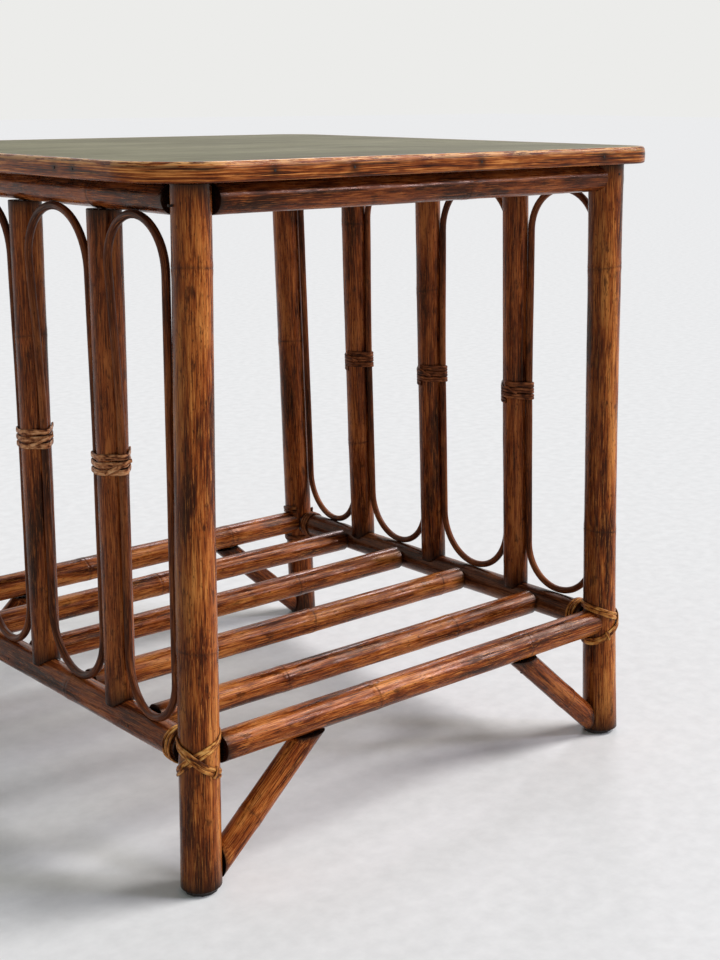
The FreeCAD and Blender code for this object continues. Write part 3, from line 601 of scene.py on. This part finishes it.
# Legs: radius of each pole at its foot, its middle and its head, and the heights of its growth rings
LEG_RADII = {
    (LEFT, FRONT): (16.6 * MM, 15.6 * MM, 14.7 * MM), (RIGHT, FRONT): (17.0 * MM, 15.2 * MM, 15.8 * MM),
    (LEFT, BACK): (15.8 * MM, 15.6 * MM, 15.4 * MM), (RIGHT, BACK): (15.4 * MM, 14.9 * MM, 15.0 * MM),
}
LEG_JOINTS = {
    (LEFT, FRONT): (0.198, 0.487), (RIGHT, FRONT): (0.205, 0.455),
    (LEFT, BACK): (0.262, 0.500), (RIGHT, BACK): (0.095, 0.330),
}
LEG_BOW = 0.5 * MM


def near_leg_lean(share):
    """The front left leg bends a little in its upper half."""
    rise = min(max((share - 0.45) / 0.5, 0), 1)
    return Vector((1.9 * MM, -1.7 * MM, 0)) * (rise * rise * (3 - 2 * rise))


def far_leg_lean(share):
    """The front right leg bends a little near its foot."""
    fall = min(max((0.45 - share) / 0.45, 0), 1)
    return Vector((1.8 * MM, -1.4 * MM, 0)) * (fall * fall)


LEG_LEANS = {(LEFT, FRONT): near_leg_lean, (RIGHT, FRONT): far_leg_lean}
# painted shade down the side of these legs that is turned away from the key light
SHADED_TOWARDS = Vector((-0.74, 0.67, 0))
SIDE_SHADED_LEGS = ((LEFT, FRONT), (RIGHT, FRONT), (LEFT, BACK))
seed = 10
for side, end, corner_name in CORNERS:
    seed += 1
    node = f"leg_{corner_name}"
    y = end * HALF_SPAN_Y
    head_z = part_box(node)[1].z
    foot = panel_point(side, y, GLIDE_TOP / cos(SPLAY))
    head = panel_point(side, y, head_z / cos(SPLAY))
    pole(node, foot, head, LEG_RADII[side, end], LEG_JOINTS[side, end],
         (flat_cut(UP * GLIDE_TOP, UP), flat_cut(UP * head_z, UP)), seed, LEG_BOW,
         LEG_LEANS.get((side, end)), RATTAN if end == FRONT else RATTAN_DARK,
         (WIDE_STAIN, STAIN_SPREAD), SHADED_TOWARDS if (side, end) in SIDE_SHADED_LEGS else None)

# Side rails, a little thinner towards the front
RAIL_LEVELS = (("upper", UPPER_RAIL_RADIUS, UPPER_RAIL_HEIGHT),
               ("lower", LOWER_RAIL_RADIUS, LOWER_RAIL_HEIGHT))
SIDE_RAIL_JOINTS = {"upper": (0.118, 0.301), "lower": (0.187, 0.395)}
TAPER = (0.965, 0.98, 1.0)
for side, side_name in SIDES:
    for level, radius, height in RAIL_LEVELS:
        seed += 1
        node = f"{level}_side_rail_{side_name}"
        reach = HALF_SPAN_Y - LEG_RADIUS - SEAT
        trims = [flat_cut(panel_point(side, end * reach, height), TO_BACK) for end in (FRONT, BACK)]
        # the right lower side rail takes the rattan darkened as painted shade
        pole(node, panel_point(side, -HALF_SPAN_Y, height), panel_point(side, HALF_SPAN_Y, height),
             [radius * share for share in TAPER], SIDE_RAIL_JOINTS[level], trims, seed,
             material=RATTAN_SHADED if (side, level) == (RIGHT, "lower") else RATTAN_DARK)

# Front and back rails and stretchers: cut askew at the left, coped over the leg at the right
SKEW_CUTS = {"upper": (radians(15), 1.6 * MM), "lower": (radians(9), 0.8 * MM)}
CROSS_RAIL_JOINTS = {"upper": (0.27,), "lower": (0.175, 0.36)}
CROSS_RAIL_TAPER = (0.975, 0.98, 0.985)
for end, end_name in ENDS:
    for level, radius, height in RAIL_LEVELS:
        seed += 1
        node = f"upper_rail_{end_name}" if level == "upper" else f"stretcher_{end_name}"
        y = end * HALF_SPAN_Y
        z = height * cos(SPLAY)
        reach = FOOT_X - height * sin(SPLAY)
        skew, clearance = SKEW_CUTS[level]
        inset = LEG_RADIUS / cos(SPLAY) + SEAT + clearance
        trims = (flat_cut(Vector((-reach + inset, y, z)), Vector((cos(skew), -end * sin(skew), 0))),
                 saddle(panel_point(RIGHT, y, 0), panel_up(RIGHT), LEG_RADIUS))
        pole(node, Vector((-reach, y, z)), Vector((reach, y, z)),
             [radius * share for share in CROSS_RAIL_TAPER], CROSS_RAIL_JOINTS[level], trims, seed,
             material=RATTAN_DARK if level == "upper" else RATTAN)

# Shelf slats, thinner at alternate ends
SLAT_JOINTS = ((0.13, 0.33), (0.24, 0.41), (0.09, 0.30), (0.19,))
SLAT_BOW = 0.6 * MM
SLAT_REACH = FOOT_X - LOWER_RAIL_HEIGHT * sin(SPLAY) - LOWER_RAIL_RADIUS - SEAT
for number, joints in enumerate(SLAT_JOINTS, start=1):
    seed += 1
    node = f"shelf_slat_{number}"
    low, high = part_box(node)
    middle = (low + high) / 2
    left_end, right_end = (Vector((side * SLAT_REACH, middle.y, middle.z)) for side in (LEFT, RIGHT))
    shares = TAPER if number % 2 else reversed(TAPER)
    pole(node, left_end, right_end, [SLAT_RADIUS * share for share in shares], joints,
         seed=seed, bow=SLAT_BOW)

# Posts: radius of each at its foot, its middle and its head
POST_RADII = {
    (LEFT, 1): (12.4 * MM, 12.8 * MM, 13.6 * MM), (LEFT, 2): (12.2 * MM, 12.8 * MM, 13.6 * MM),
    (LEFT, 3): (12.4 * MM, 12.9 * MM, 13.3 * MM), (RIGHT, 1): (12.5 * MM, 12.7 * MM, 12.4 * MM),
    (RIGHT, 2): (12.9 * MM, 13.0 * MM, 12.8 * MM), (RIGHT, 3): (12.9 * MM, 13.1 * MM, 13.0 * MM),
}
POST_JOINTS = ((0.21,), (0.30,), (0.12, 0.36))
POST_BOW = 0.5 * MM
for side, side_name in SIDES:
    for number in range(1, BAYS):
        seed += 1
        node = f"post_{side_name}_{number}"
        foot = panel_point(side, POLE_Y[number], LOWER_RAIL_HEIGHT)
        head = panel_point(side, POLE_Y[number], UPPER_RAIL_HEIGHT - UPPER_RAIL_RADIUS - HAIRLINE)
        pole(node, foot, head, POST_RADII[side, number], POST_JOINTS[number - 1],
             (over_rail(side, LOWER_RAIL_HEIGHT), None), seed, POST_BOW, material=RATTAN_DARK,
             stains=(WIDE_STAIN, STAIN_SPREAD))

# Braces: longer than needed, then trimmed by the leg's face and the stretcher's underside
BRACE_SPARE = 30 * MM
BRACE_PEEL = 0.2 * MM
BRACE_JOINTS = (0.075,)
for side, end, corner_name in CORNERS:
    seed += 1
    node = f"brace_{corner_name}"
    y = end * HALF_SPAN_Y
    top_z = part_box(node)[1].z
    head = Vector((side * (FOOT_X - BRACE_REACH), y, top_z))
    foot = Vector((side * (FOOT_X - LEG_RADIUS), y, BRACE_FOOT_HEIGHT))
    spare = (head - foot).normalized() * BRACE_SPARE
    leg_face = side * (FOOT_X - LEG_RADIUS - SEAT - BRACE_FOOT_HEIGHT * tan(SPLAY))
    trims = (flat_cut(Vector((leg_face, y, BRACE_FOOT_HEIGHT)), TO_RIGHT),
             flat_cut(UP * (top_z - HAIRLINE), UP))
    pole(node, foot - spare, head + spare, [BRACE_RADIUS - BRACE_PEEL] * 3, BRACE_JOINTS, trims, seed,
         material=RATTAN if side == LEFT else RATTAN_DARK, stains=(STAIN_SPREAD, WIDE_STAIN))


# Cane loops: drawn in at the bindings, sprung outwards at their heads
CANE_FREE_OUT = 8 * MM
# how far out of its panel each run of a loop is at a post binding
CANE_BOUND_OUT = {
    (LEFT, FRONT): 5 * MM, (LEFT, BACK): 0.5 * MM,
    (RIGHT, FRONT): 3 * MM, (RIGHT, BACK): 3 * MM,
}
# how much closer to a pole than a free seat a bound cane is pressed
CANE_PRESS = 0.5 * MM
# half of the gap where a loop's ends meet, and the steps along its bends, runs and half runs
LOOP_HALF_GAP = 0.3 * MM
BEND_STEPS, RUN_STEPS, HALF_RUN_STEPS = 30, 30, 12


def cane_out(side, bay, height, backness):
    """How far out of its panel a cane lies. Backness is 0 at a loop's front run and 1 at its back run."""
    bound = CANE_BOUND_OUT[side, FRONT] * (1 - backness) + CANE_BOUND_OUT[side, BACK] * backness
    rise = min(max((height - BINDING_HEIGHT) / (UPPER_RAIL_HEIGHT - BINDING_HEIGHT), 0), 1)
    freedom = rise * rise * (3 - 2 * rise)
    # a run beside a leg has no binding
    by_leg = {1: 1 - backness, BAYS: backness}.get(bay, 0)
    return bound + (CANE_FREE_OUT - bound) * max(freedom, by_leg)


def cane_beside(pole_radius, out):
    """From a pole's axis to the cane pressed against it, measured in the panel's plane."""
    return sqrt((pole_radius + SEAT + CANE_RADIUS - CANE_PRESS) ** 2 - out ** 2)


def loop_runs(bay, out):
    """Where the front and back runs of a loop are along the panel, where it lies so far out."""
    front = POLE_Y[bay - 1] + cane_beside(LEG_RADIUS if bay == 1 else POST_RADIUS, out)
    back = POLE_Y[bay] - cane_beside(LEG_RADIUS if bay == BAYS else POST_RADIUS, out)
    return front, back


def loop_stations(side, bay):
    """Once round a loop: up one run from the binding, over the head, down the other run and back."""
    head = UPPER_RAIL_HEIGHT - cane_beside(UPPER_RAIL_RADIUS, CANE_FREE_OUT)
    foot = LOWER_RAIL_HEIGHT + cane_beside(LOWER_RAIL_RADIUS, cane_out(side, bay, 0, 0.5))
    front, back = loop_runs(bay, CANE_FREE_OUT)
    bend = (back - front) / 2
    top, bottom = head - bend, foot + bend

    def run(angle, start, stop, steps):
        return [(angle, start + (stop - start) * k / steps) for k in range(1, steps)]

    def half_turn(angle, level):
        return [(angle + pi * k / BEND_STEPS, level) for k in range(BEND_STEPS + 1)]

    course = [(0, BINDING_HEIGHT + LOOP_HALF_GAP), *run(0, BINDING_HEIGHT, top, HALF_RUN_STEPS),
              *half_turn(0, top), *run(pi, top, bottom, RUN_STEPS), *half_turn(pi, bottom),
              *run(TURN, bottom, BINDING_HEIGHT, HALF_RUN_STEPS), (TURN, BINDING_HEIGHT - LOOP_HALF_GAP)]
    # the ends meet on the back run, but on the front run of the last bay, so always behind a binding
    joint = BACK if bay < BAYS else FRONT
    stations = []
    for angle, level in course:
        height = level + sin(angle) * bend
        out = cane_out(side, bay, height, (1 + joint * cos(angle)) / 2)
        front, back = loop_runs(bay, out)
        y = (front + back) / 2 + joint * cos(angle) * (back - front) / 2
        across = TO_BACK * (joint * cos(angle)) + panel_up(side) * sin(angle)
        stations.append((panel_point(side, y, height, out), across))
    return stations


for side, side_name in SIDES:
    for bay in range(1, BAYS + 1):
        seed += 1
        cane(f"cane_loop_{side_name}_{bay}", loop_stations(side, bay), seed)

# Bindings round a post and the two canes beside it
BINDING_WIDTH = 5.2 * MM
BINDING_PITCH = 6 * MM
BINDING_TURNS = 3
BINDING_SPAN = BINDING_PITCH * BINDING_TURNS / 2
BINDING_WAVER = 0.8 * MM
BINDING_END_LIFT = 2.0 * MM
BINDING_ROUGHNESS = 0.6
# strands side by side in a turn: shares of the strip's width that each is set aside and is wide
STRANDS = {LEFT: ((0, 0.94),), RIGHT: ((-0.25, 0.52), (0.25, 0.52))}
# the end tucked over the turns: shares of a turn, of the pitch, of the width and of the thickness
TUCK = {LEFT: (0.56, 0.84), RIGHT: (0.80, 1.0)}
TUCK_CLIMB, TUCK_WIDTH, TUCK_LIFT, TUCK_THICKNESS = 1.2, 0.6, 0.8, 1.2


def binding_outline(side):
    """One turn round a post and its two canes: point, outward direction and share of the turn."""
    spare = STRIP_CLEARANCE + STRIP_THICKNESS / 2
    offset = POST_RADIUS + SEAT + CANE_RADIUS - CANE_PRESS
    around_post, around_cane = POST_RADIUS + spare, CANE_RADIUS + spare
    # angles start on the inner side of the post, and the canes stand past the quarter turn
    touch = asin((around_post - around_cane) / offset)
    # the cane at the back of a post is the front run of the next loop
    back_out, front_out = CANE_BOUND_OUT[side, FRONT], CANE_BOUND_OUT[side, BACK]
    back_swing, front_swing = asin(back_out / offset), asin(front_out / offset)
    first, second = back_swing + touch, pi + back_swing - touch
    third, fourth = pi - front_swing + touch, TURN - front_swing - touch
    post_centre = Vector((0, 0, 0))
    back_cane = panel_out(side) * back_out + TO_BACK * cane_beside(POST_RADIUS, back_out)
    front_cane = panel_out(side) * front_out - TO_BACK * cane_beside(POST_RADIUS, front_out)
    # each arc's centre, radius, first and last angle and steps
    arcs = ((post_centre, around_post, 0, first, 10), (back_cane, around_cane, first, second, 12),
            (post_centre, around_post, second, third, 3), (front_cane, around_cane, third, fourth, 12),
            (post_centre, around_post, fourth, TURN, 10))
    outline = []
    for centre, radius, start, stop, steps in arcs:
        for step in range(steps + 1):
            angle = start + (stop - start) * step / steps
            outward = panel_out(side) * -cos(angle) + TO_BACK * sin(angle)
            outline.append((centre + outward * radius, outward))
    lengths = [0.0]
    for (before, _), (after, _) in zip(outline, outline[1:]):
        lengths.append(lengths[-1] + (after - before).length)
    return [(point, outward, length / lengths[-1]) for (point, outward), length in zip(outline, lengths)][:-1]


def binding_stations(side, y, first, last, climb, lift, seed):
    """A strand from turn first to turn last that climbs past the middle, its end standing off."""
    outline = binding_outline(side)
    course = [(turn + share, point, outward) for turn in range(ceil(last))
              for point, outward, share in outline]
    course = [place for place in course if first <= place[0] <= last]
    stations = []
    for number, (turn, point, outward) in enumerate(course):
        rise = -climb + 2 * climb * (turn - first) / (last - first)
        rise += BINDING_WAVER * wander(turn * 3.1, seed * 0.37, 2)
        left_over = len(course) - 1 - number
        stand_off = lift + BINDING_END_LIFT * max(0, 1 - left_over / 3) ** 2
        stations.append((panel_point(side, y, BINDING_HEIGHT + rise) + point + outward * stand_off, outward))
    return stations


for side, side_name in SIDES:
    for number in range(1, BAYS):
        seed += 1
        stations = binding_stations(side, POLE_Y[number], 0, BINDING_TURNS, BINDING_SPAN, 0, seed)
        parts = [ribbon(stations, BINDING_WIDTH * width, STRIP_THICKNESS, seed + aside, BINDING_ROUGHNESS,
                        BINDING_WIDTH * aside) for aside, width in STRANDS[side]]
        tuck = binding_stations(side, POLE_Y[number], *TUCK[side], BINDING_PITCH * TUCK_CLIMB,
                                STRIP_THICKNESS * TUCK_LIFT, seed + 7)
        parts.append(ribbon(tuck, BINDING_WIDTH * TUCK_WIDTH, STRIP_THICKNESS * TUCK_THICKNESS, seed + 9))
        ribbons(f"post_binding_{side_name}_{number}", parts, BINDING if side == LEFT else BINDING_DARK)

# Wraps round the side rail beside each leg
RAIL_WRAP_WIDTH = 2.8 * MM
RAIL_WRAP_PITCH = 3.6 * MM
RAIL_WRAP_TURNS = 3
RAIL_WRAP_START = 20.5 * MM
RAIL_WRAP_THICKNESS = 1.7 * STRIP_THICKNESS
STEPS_PER_TURN = 60


def rail_wrap_stations(side, end):
    radius = LOWER_RAIL_RADIUS + STRIP_CLEARANCE + STRIP_THICKNESS / 2
    stations = []
    for step in range(STEPS_PER_TURN * RAIL_WRAP_TURNS + 1):
        turn = step / STEPS_PER_TURN
        # a wrap starts on the underside of the rail
        angle = TURN * (turn - 0.25)
        outward = panel_out(side) * cos(angle) + panel_up(side) * sin(angle)
        y = end * (HALF_SPAN_Y - RAIL_WRAP_START - turn * RAIL_WRAP_PITCH)
        stations.append((panel_point(side, y, LOWER_RAIL_HEIGHT) + outward * radius, outward))
    return stations


# Crossed lashing round each leg: width, thickness and shift aside of its two strands
LASHING_STRANDS = ((4.4 * MM, 1.9 * MM, -1.3 * MM), (3.0 * MM, 1.5 * MM, 2.3 * MM))
# its course: degrees round the leg, then the share of the rise where it lies there
LASHING_RISE = 15 * MM
LASHING_COURSE = (
    (146, 0.83), (176, 0.57), (205, 0.36), (228, 0.04), (252, -0.37), (272, -0.60), (290, -0.80),
    (315, -1.04), (349, -1.20), (405, -1.22), (450, -1.20), (495, -1.05), (532, -0.64), (559, -0.20),
    (590, 0.22), (608, 0.41), (634, 0.63), (653, 0.78), (673, 0.94), (705, 1.12), (740, 1.20), (765, 1.20),
)
# where it crosses itself it is lifted, over so many degrees to each side
LASHING_CROSSING, LASHING_LIFT_SPREAD = 225, 55
LASHING_LIFT = 1.7 * MM
# short hitches over the lashing, in degrees round the leg
HITCHES = (286, 545)
HITCH_WIDTH = 3.4 * MM
HITCH_THICKNESS = 1.6 * MM
HITCH_REACH = 4.2 * MM
HITCH_LIFT = 1.5 * MM
HITCH_SWING = 7
HITCH_STEPS = 5


def lashing_rise(degrees):
    """Height of a lashing over its rail at an angle: a smooth curve through its course."""
    course = LASHING_COURSE
    last = len(course) - 1
    for index in range(last):
        (start, low), (stop, high) = course[index], course[index + 1]
        if degrees <= stop:
            break
    before, after = course[max(index - 1, 0)], course[min(index + 2, last)]
    share = (degrees - start) / (stop - start)
    slope_in = (high - before[1]) / (stop - before[0]) * (stop - start)
    slope_out = (after[1] - low) / (after[0] - start) * (stop - start)
    square, cube = share ** 2, share ** 3
    return LASHING_RISE * ((2 * cube - 3 * square + 1) * low + (cube - 2 * square + share) * slope_in
                           + (3 * square - 2 * cube) * high + (cube - square) * slope_out)


def lashing_place(side, end, degrees, rise, lift):
    """A point on a leg's surface and the outward direction there."""
    angle = radians(degrees)
    outward = panel_out(side) * -cos(angle) + TO_BACK * (-end * sin(angle))
    inner = LEG_RADIUS - SEAT + STRIP_CLEARANCE + STRIP_THICKNESS / 2
    return panel_point(side, end * HALF_SPAN_Y, LOWER_RAIL_HEIGHT + rise) + outward * (inner + lift), outward


def lashing_stations(side, end):
    first, last = LASHING_COURSE[0][0], LASHING_COURSE[-1][0]
    steps = round((last - first) / 360 * STEPS_PER_TURN)
    stations = []
    for step in range(steps + 1):
        degrees = first + (last - first) * step / steps
        off_crossing = min(abs(degrees - LASHING_CROSSING) / LASHING_LIFT_SPREAD, 1)
        lift = LASHING_LIFT * (1 + cos(pi * off_crossing)) / 2
        stations.append(lashing_place(side, end, degrees, lashing_rise(degrees), lift))
    return stations


def hitch_stations(side, end, degrees):
    """A short strand laid across the lashing, its ends pressed to the leg."""
    middle = lashing_rise(degrees)
    stations = []
    for step in range(-HITCH_STEPS, HITCH_STEPS + 1):
        share = step / HITCH_STEPS
        lift = HITCH_LIFT * cos(share * pi / 2)
        stations.append(lashing_place(side, end, degrees + HITCH_SWING * share,
                                      middle + HITCH_REACH * share, lift))
    return stations


for side, end, corner_name in CORNERS:
    seed += 1
    material = LASHING if end == FRONT else LASHING_DARK
    wrap = ribbon(rail_wrap_stations(side, end), RAIL_WRAP_WIDTH, RAIL_WRAP_THICKNESS, seed)
    ribbons(f"rail_wrap_{corner_name}", [wrap], material)
    course = lashing_stations(side, end)
    parts = [ribbon(course, width, thickness, seed + 100 + number, aside=aside)
             for number, (width, thickness, aside) in enumerate(LASHING_STRANDS)]
    parts += [ribbon(hitch_stations(side, end, degrees), HITCH_WIDTH, HITCH_THICKNESS, seed + degrees)
              for degrees in HITCHES]
    ribbons(f"leg_lashing_{corner_name}", parts, material)


# Top: outline as points with outward directions, from the left middle round to the right middle
BAND_STEP = 2.5 * MM
PLATE_STEP = 6 * MM
# section of the edge band: depth in from its face and height, as shares of its sizes
BAND_SECTION = ((1, 0), (0.45, 0), (0.24, 0.02), (0.08, 0.09), (0.02, 0.2), (0, 0.35), (0, 0.55),
                (0.03, 0.74), (0.13, 0.88), (0.3, 0.97), (0.55, 1), (1, 1))
BAND_UNDERSIDE_RISES = (0, 0.02)
# how deep the band is dented: in long waves, in short ones and on its underside
BAND_WAVES, BAND_DENTS, BAND_UNDERSIDE_WAVES = 0.35 * MM, 0.22 * MM, 0.4 * MM
BAND_END_GAP = 0.2 * MM
BAND_END_STAIN = 0.5
PIN_STAIN = 4 * MM
# the arris is worn above this share of the band's height, more so on its outer part
WORN_ABOVE = 0.7


def band_course(end, step):
    half_x, half_y = TOP_HIGH.x, TOP_HIGH.y
    course = []

    def straight(start, stop, outward):
        count = max(1, round((stop - start).length / step))
        course.extend((start.lerp(stop, k / count), outward) for k in range(count))

    def bend(centre, radius, first, last):
        count = max(1, round(radius * pi / 2 / step))
        for k in range(count):
            angle = pi / 2 * k / count
            turned = first * cos(angle) + last * sin(angle)
            course.append((centre + turned * radius, turned))

    near, far = CORNER_RADII[LEFT, end], CORNER_RADII[RIGHT, end]
    to_end = TO_BACK * end
    straight(-TO_RIGHT * half_x, Vector((-half_x, end * (half_y - near), 0)), -TO_RIGHT)
    bend(Vector((near - half_x, end * (half_y - near), 0)), near, -TO_RIGHT, to_end)
    straight(Vector((near - half_x, end * half_y, 0)), Vector((half_x - far, end * half_y, 0)), to_end)
    bend(Vector((half_x - far, end * (half_y - far), 0)), far, to_end, TO_RIGHT)
    straight(Vector((half_x, end * (half_y - far), 0)), TO_RIGHT * half_x, TO_RIGHT)
    course.append((TO_RIGHT * half_x, TO_RIGHT))
    return course


def pin_places():
    """The corners of the edge band's pins, for a quick search of the nearest one."""
    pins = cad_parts["edge_pins"]
    places = KDTree(len(pins.data.vertices))
    for vertex in pins.data.vertices:
        places.insert(pins.matrix_world @ vertex.co, vertex.index)
    places.balance()
    return places


PIN_PLACES = pin_places()


def unevenness(*values):
    """Smooth noise from 0 to 1 at a place."""
    return 0.5 + 0.5 * wander(*values)


def edge_band(node, end, seed):
    height = TOP_HIGH.z - BOARD_UNDERSIDE
    vertices, rings, grain, tips, wear = [], [], [], [], []
    for point, outward, _, along, at_end in walk(band_course(end, BAND_STEP)):
        ring = []
        for depth, rise in BAND_SECTION:
            inwards = depth * BAND_THICKNESS
            level = rise * height
            if depth < 0.5:
                inwards += BAND_WAVES * unevenness(along * 18, rise * 1.5, seed)
                inwards += BAND_DENTS * unevenness(along * 70, rise * 4, seed + 3)
            if rise in BAND_UNDERSIDE_RISES:
                level += BAND_UNDERSIDE_WAVES * unevenness(along * 12, seed, 1)
            if at_end:
                inwards += BAND_END_GAP
            spot = point - outward * inwards + UP * (BOARD_UNDERSIDE + level)
            ring.append(len(vertices))
            vertices.append(spot)
            grain.append(Vector((inwards, level, along + seed)))
            tips.append(max(bell(PIN_PLACES.find(spot)[2], PIN_STAIN), BAND_END_STAIN if at_end else 0.0))
            wear.append(max(0.0, (rise - WORN_ABOVE) / (1 - WORN_ABOVE)) * (1 if depth < 0.6 else 0.4))
        rings.append(list(reversed(ring)) if end == FRONT else ring)
    add_piece(node, "cane", vertices, skin(rings), {"grain": grain, "tip": tips, "wear": wear},
              EDGE_BAND)


for number, (end, end_name) in enumerate(ENDS):
    edge_band(f"edge_band_{end_name}", end, 3.0 + 5 * number)


def rounded_plate(node, low_z, high_z, ease, material):
    """A flat plate that fills the edge band, its upper arris eased."""
    outline = []
    for end in (FRONT, BACK):
        part = [point - outward * BAND_THICKNESS for point, outward in band_course(end, PLATE_STEP)]
        outline += part[1:-1] if end == FRONT else reversed(part)
    rings, vertices = [], []
    for level, shrink in ((low_z, 0), (high_z - ease, 0), (high_z, ease)):
        rings.append(range(len(vertices), len(vertices) + len(outline)))
        vertices += [point - point.normalized() * shrink + UP * level for point in outline]
    add_piece(node, "panel", vertices, skin(rings), {}, material)


rounded_plate("top_board", BOARD_UNDERSIDE, FACE_LOW, 0.1 * MM, BOARD_WOOD)
rounded_plate("face_sheet", FACE_LOW, FACE_HIGH, 0.3 * MM, TOP_FACE)

# Solids that keep their shape
for node in ("panel_pins", "brace_pins", "edge_pins", "top_screws", "glides"):
    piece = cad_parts[node]
    piece.data.materials.clear()
    piece.data.materials.append(GLIDE if node == "glides" else STEEL)


# Studio
def floor_material():
    n = Finish("floor_pale")
    speckle = n.noise(n.place(), (60, 60, 60), 3, 0.6)
    colour = n.ramp(speckle, (0.3, srgb(226, 227, 225)), (0.7, srgb(235, 236, 234)))
    n.set(Base_Color=colour, Roughness=0.9, Specular_IOR_Level=0)
    return n.material


FLOOR_SIZE = 30
mesh = bpy.data.meshes.new("floor")
corners = [(-1, -1), (1, -1), (1, 1), (-1, 1)]
mesh.from_pydata([(x * FLOOR_SIZE, y * FLOOR_SIZE, 0) for x, y in corners], [], [(0, 1, 2, 3)])
mesh.materials.append(floor_material())
floor = add_object("floor", mesh)


def studio_world():
    """Pale where the camera and reflections see it, and a softer light on everything else."""
    world = bpy.data.worlds.new("studio")
    scene.world = world
    world.use_nodes = True
    n = Nodes(world.node_tree)
    n.tree.nodes.clear()
    path = n.add("ShaderNodeLightPath").outputs
    bounced = n.math("MAXIMUM", path["Is Glossy Ray"], path["Is Transmission Ray"])
    seen = n.math("MAXIMUM", path["Is Camera Ray"], bounced)
    pale = n.add("ShaderNodeBackground", {"Color": srgb(236, 236, 234)})
    ambient = n.add("ShaderNodeBackground", {"Color": (0.84, 0.90, 0.88, 1), "Strength": 0.30})
    mixer = n.add("ShaderNodeMixShader", {0: seen, 1: ambient.outputs[0], 2: pale.outputs[0]})
    n.add("ShaderNodeOutputWorld", {"Surface": mixer.outputs[0]})


studio_world()


def sun_light(name, towards, strength, softness, colour):
    """Parallel light from a direction, its shadows softened by an angle in degrees."""
    data = bpy.data.lights.new(name, "SUN")
    data.energy = strength
    data.angle = radians(softness)
    data.color = colour
    add_object(name, data).rotation_euler = Vector(towards).to_track_quat("Z", "Y").to_euler()


sun_light("key", (0.70, -0.35, 0.78), 2.45, 24, (1.0, 0.97, 0.98))
sun_light("back_gloss", (0.57, 0.50, 0.65), 0.6, 14, (0.97, 0.92, 1.0))
sun_light("front_fill", (0.62, -0.66, 0.42), 1.1, 10, (0.84, 0.84, 1.0))

# Camera: 57 mm on a frame 36 mm high, 15.5 degrees down, its axis at a pixel of the photo
IMAGE_HEIGHT = 960
IMAGE_MIDDLE = (360, 480)
AXIS_PIXEL = (430.4, 513.2)
FOCAL_PIXELS = 1521
SENSOR = 36.0
CAMERA_PLACE = (-0.8344, -1.1683, 0.6136)
CAMERA_YAW = radians(47.721)
CAMERA_PITCH = radians(15.519)
CAMERA_ROLL = radians(-0.08)

lens = bpy.data.cameras.new("camera")
lens.sensor_fit = "VERTICAL"
lens.sensor_height = SENSOR
lens.lens = FOCAL_PIXELS * SENSOR / IMAGE_HEIGHT
lens.shift_x = (IMAGE_MIDDLE[0] - AXIS_PIXEL[0]) / IMAGE_HEIGHT
lens.shift_y = (AXIS_PIXEL[1] - IMAGE_MIDDLE[1]) / IMAGE_HEIGHT
lens.clip_start = 0.01
camera = add_object("camera", lens)
camera.location = CAMERA_PLACE
camera.rotation_euler = Euler((pi / 2 - CAMERA_PITCH, CAMERA_ROLL, CAMERA_YAW - pi / 2))
scene.camera = camera
scene.view_settings.view_transform = "Standard"
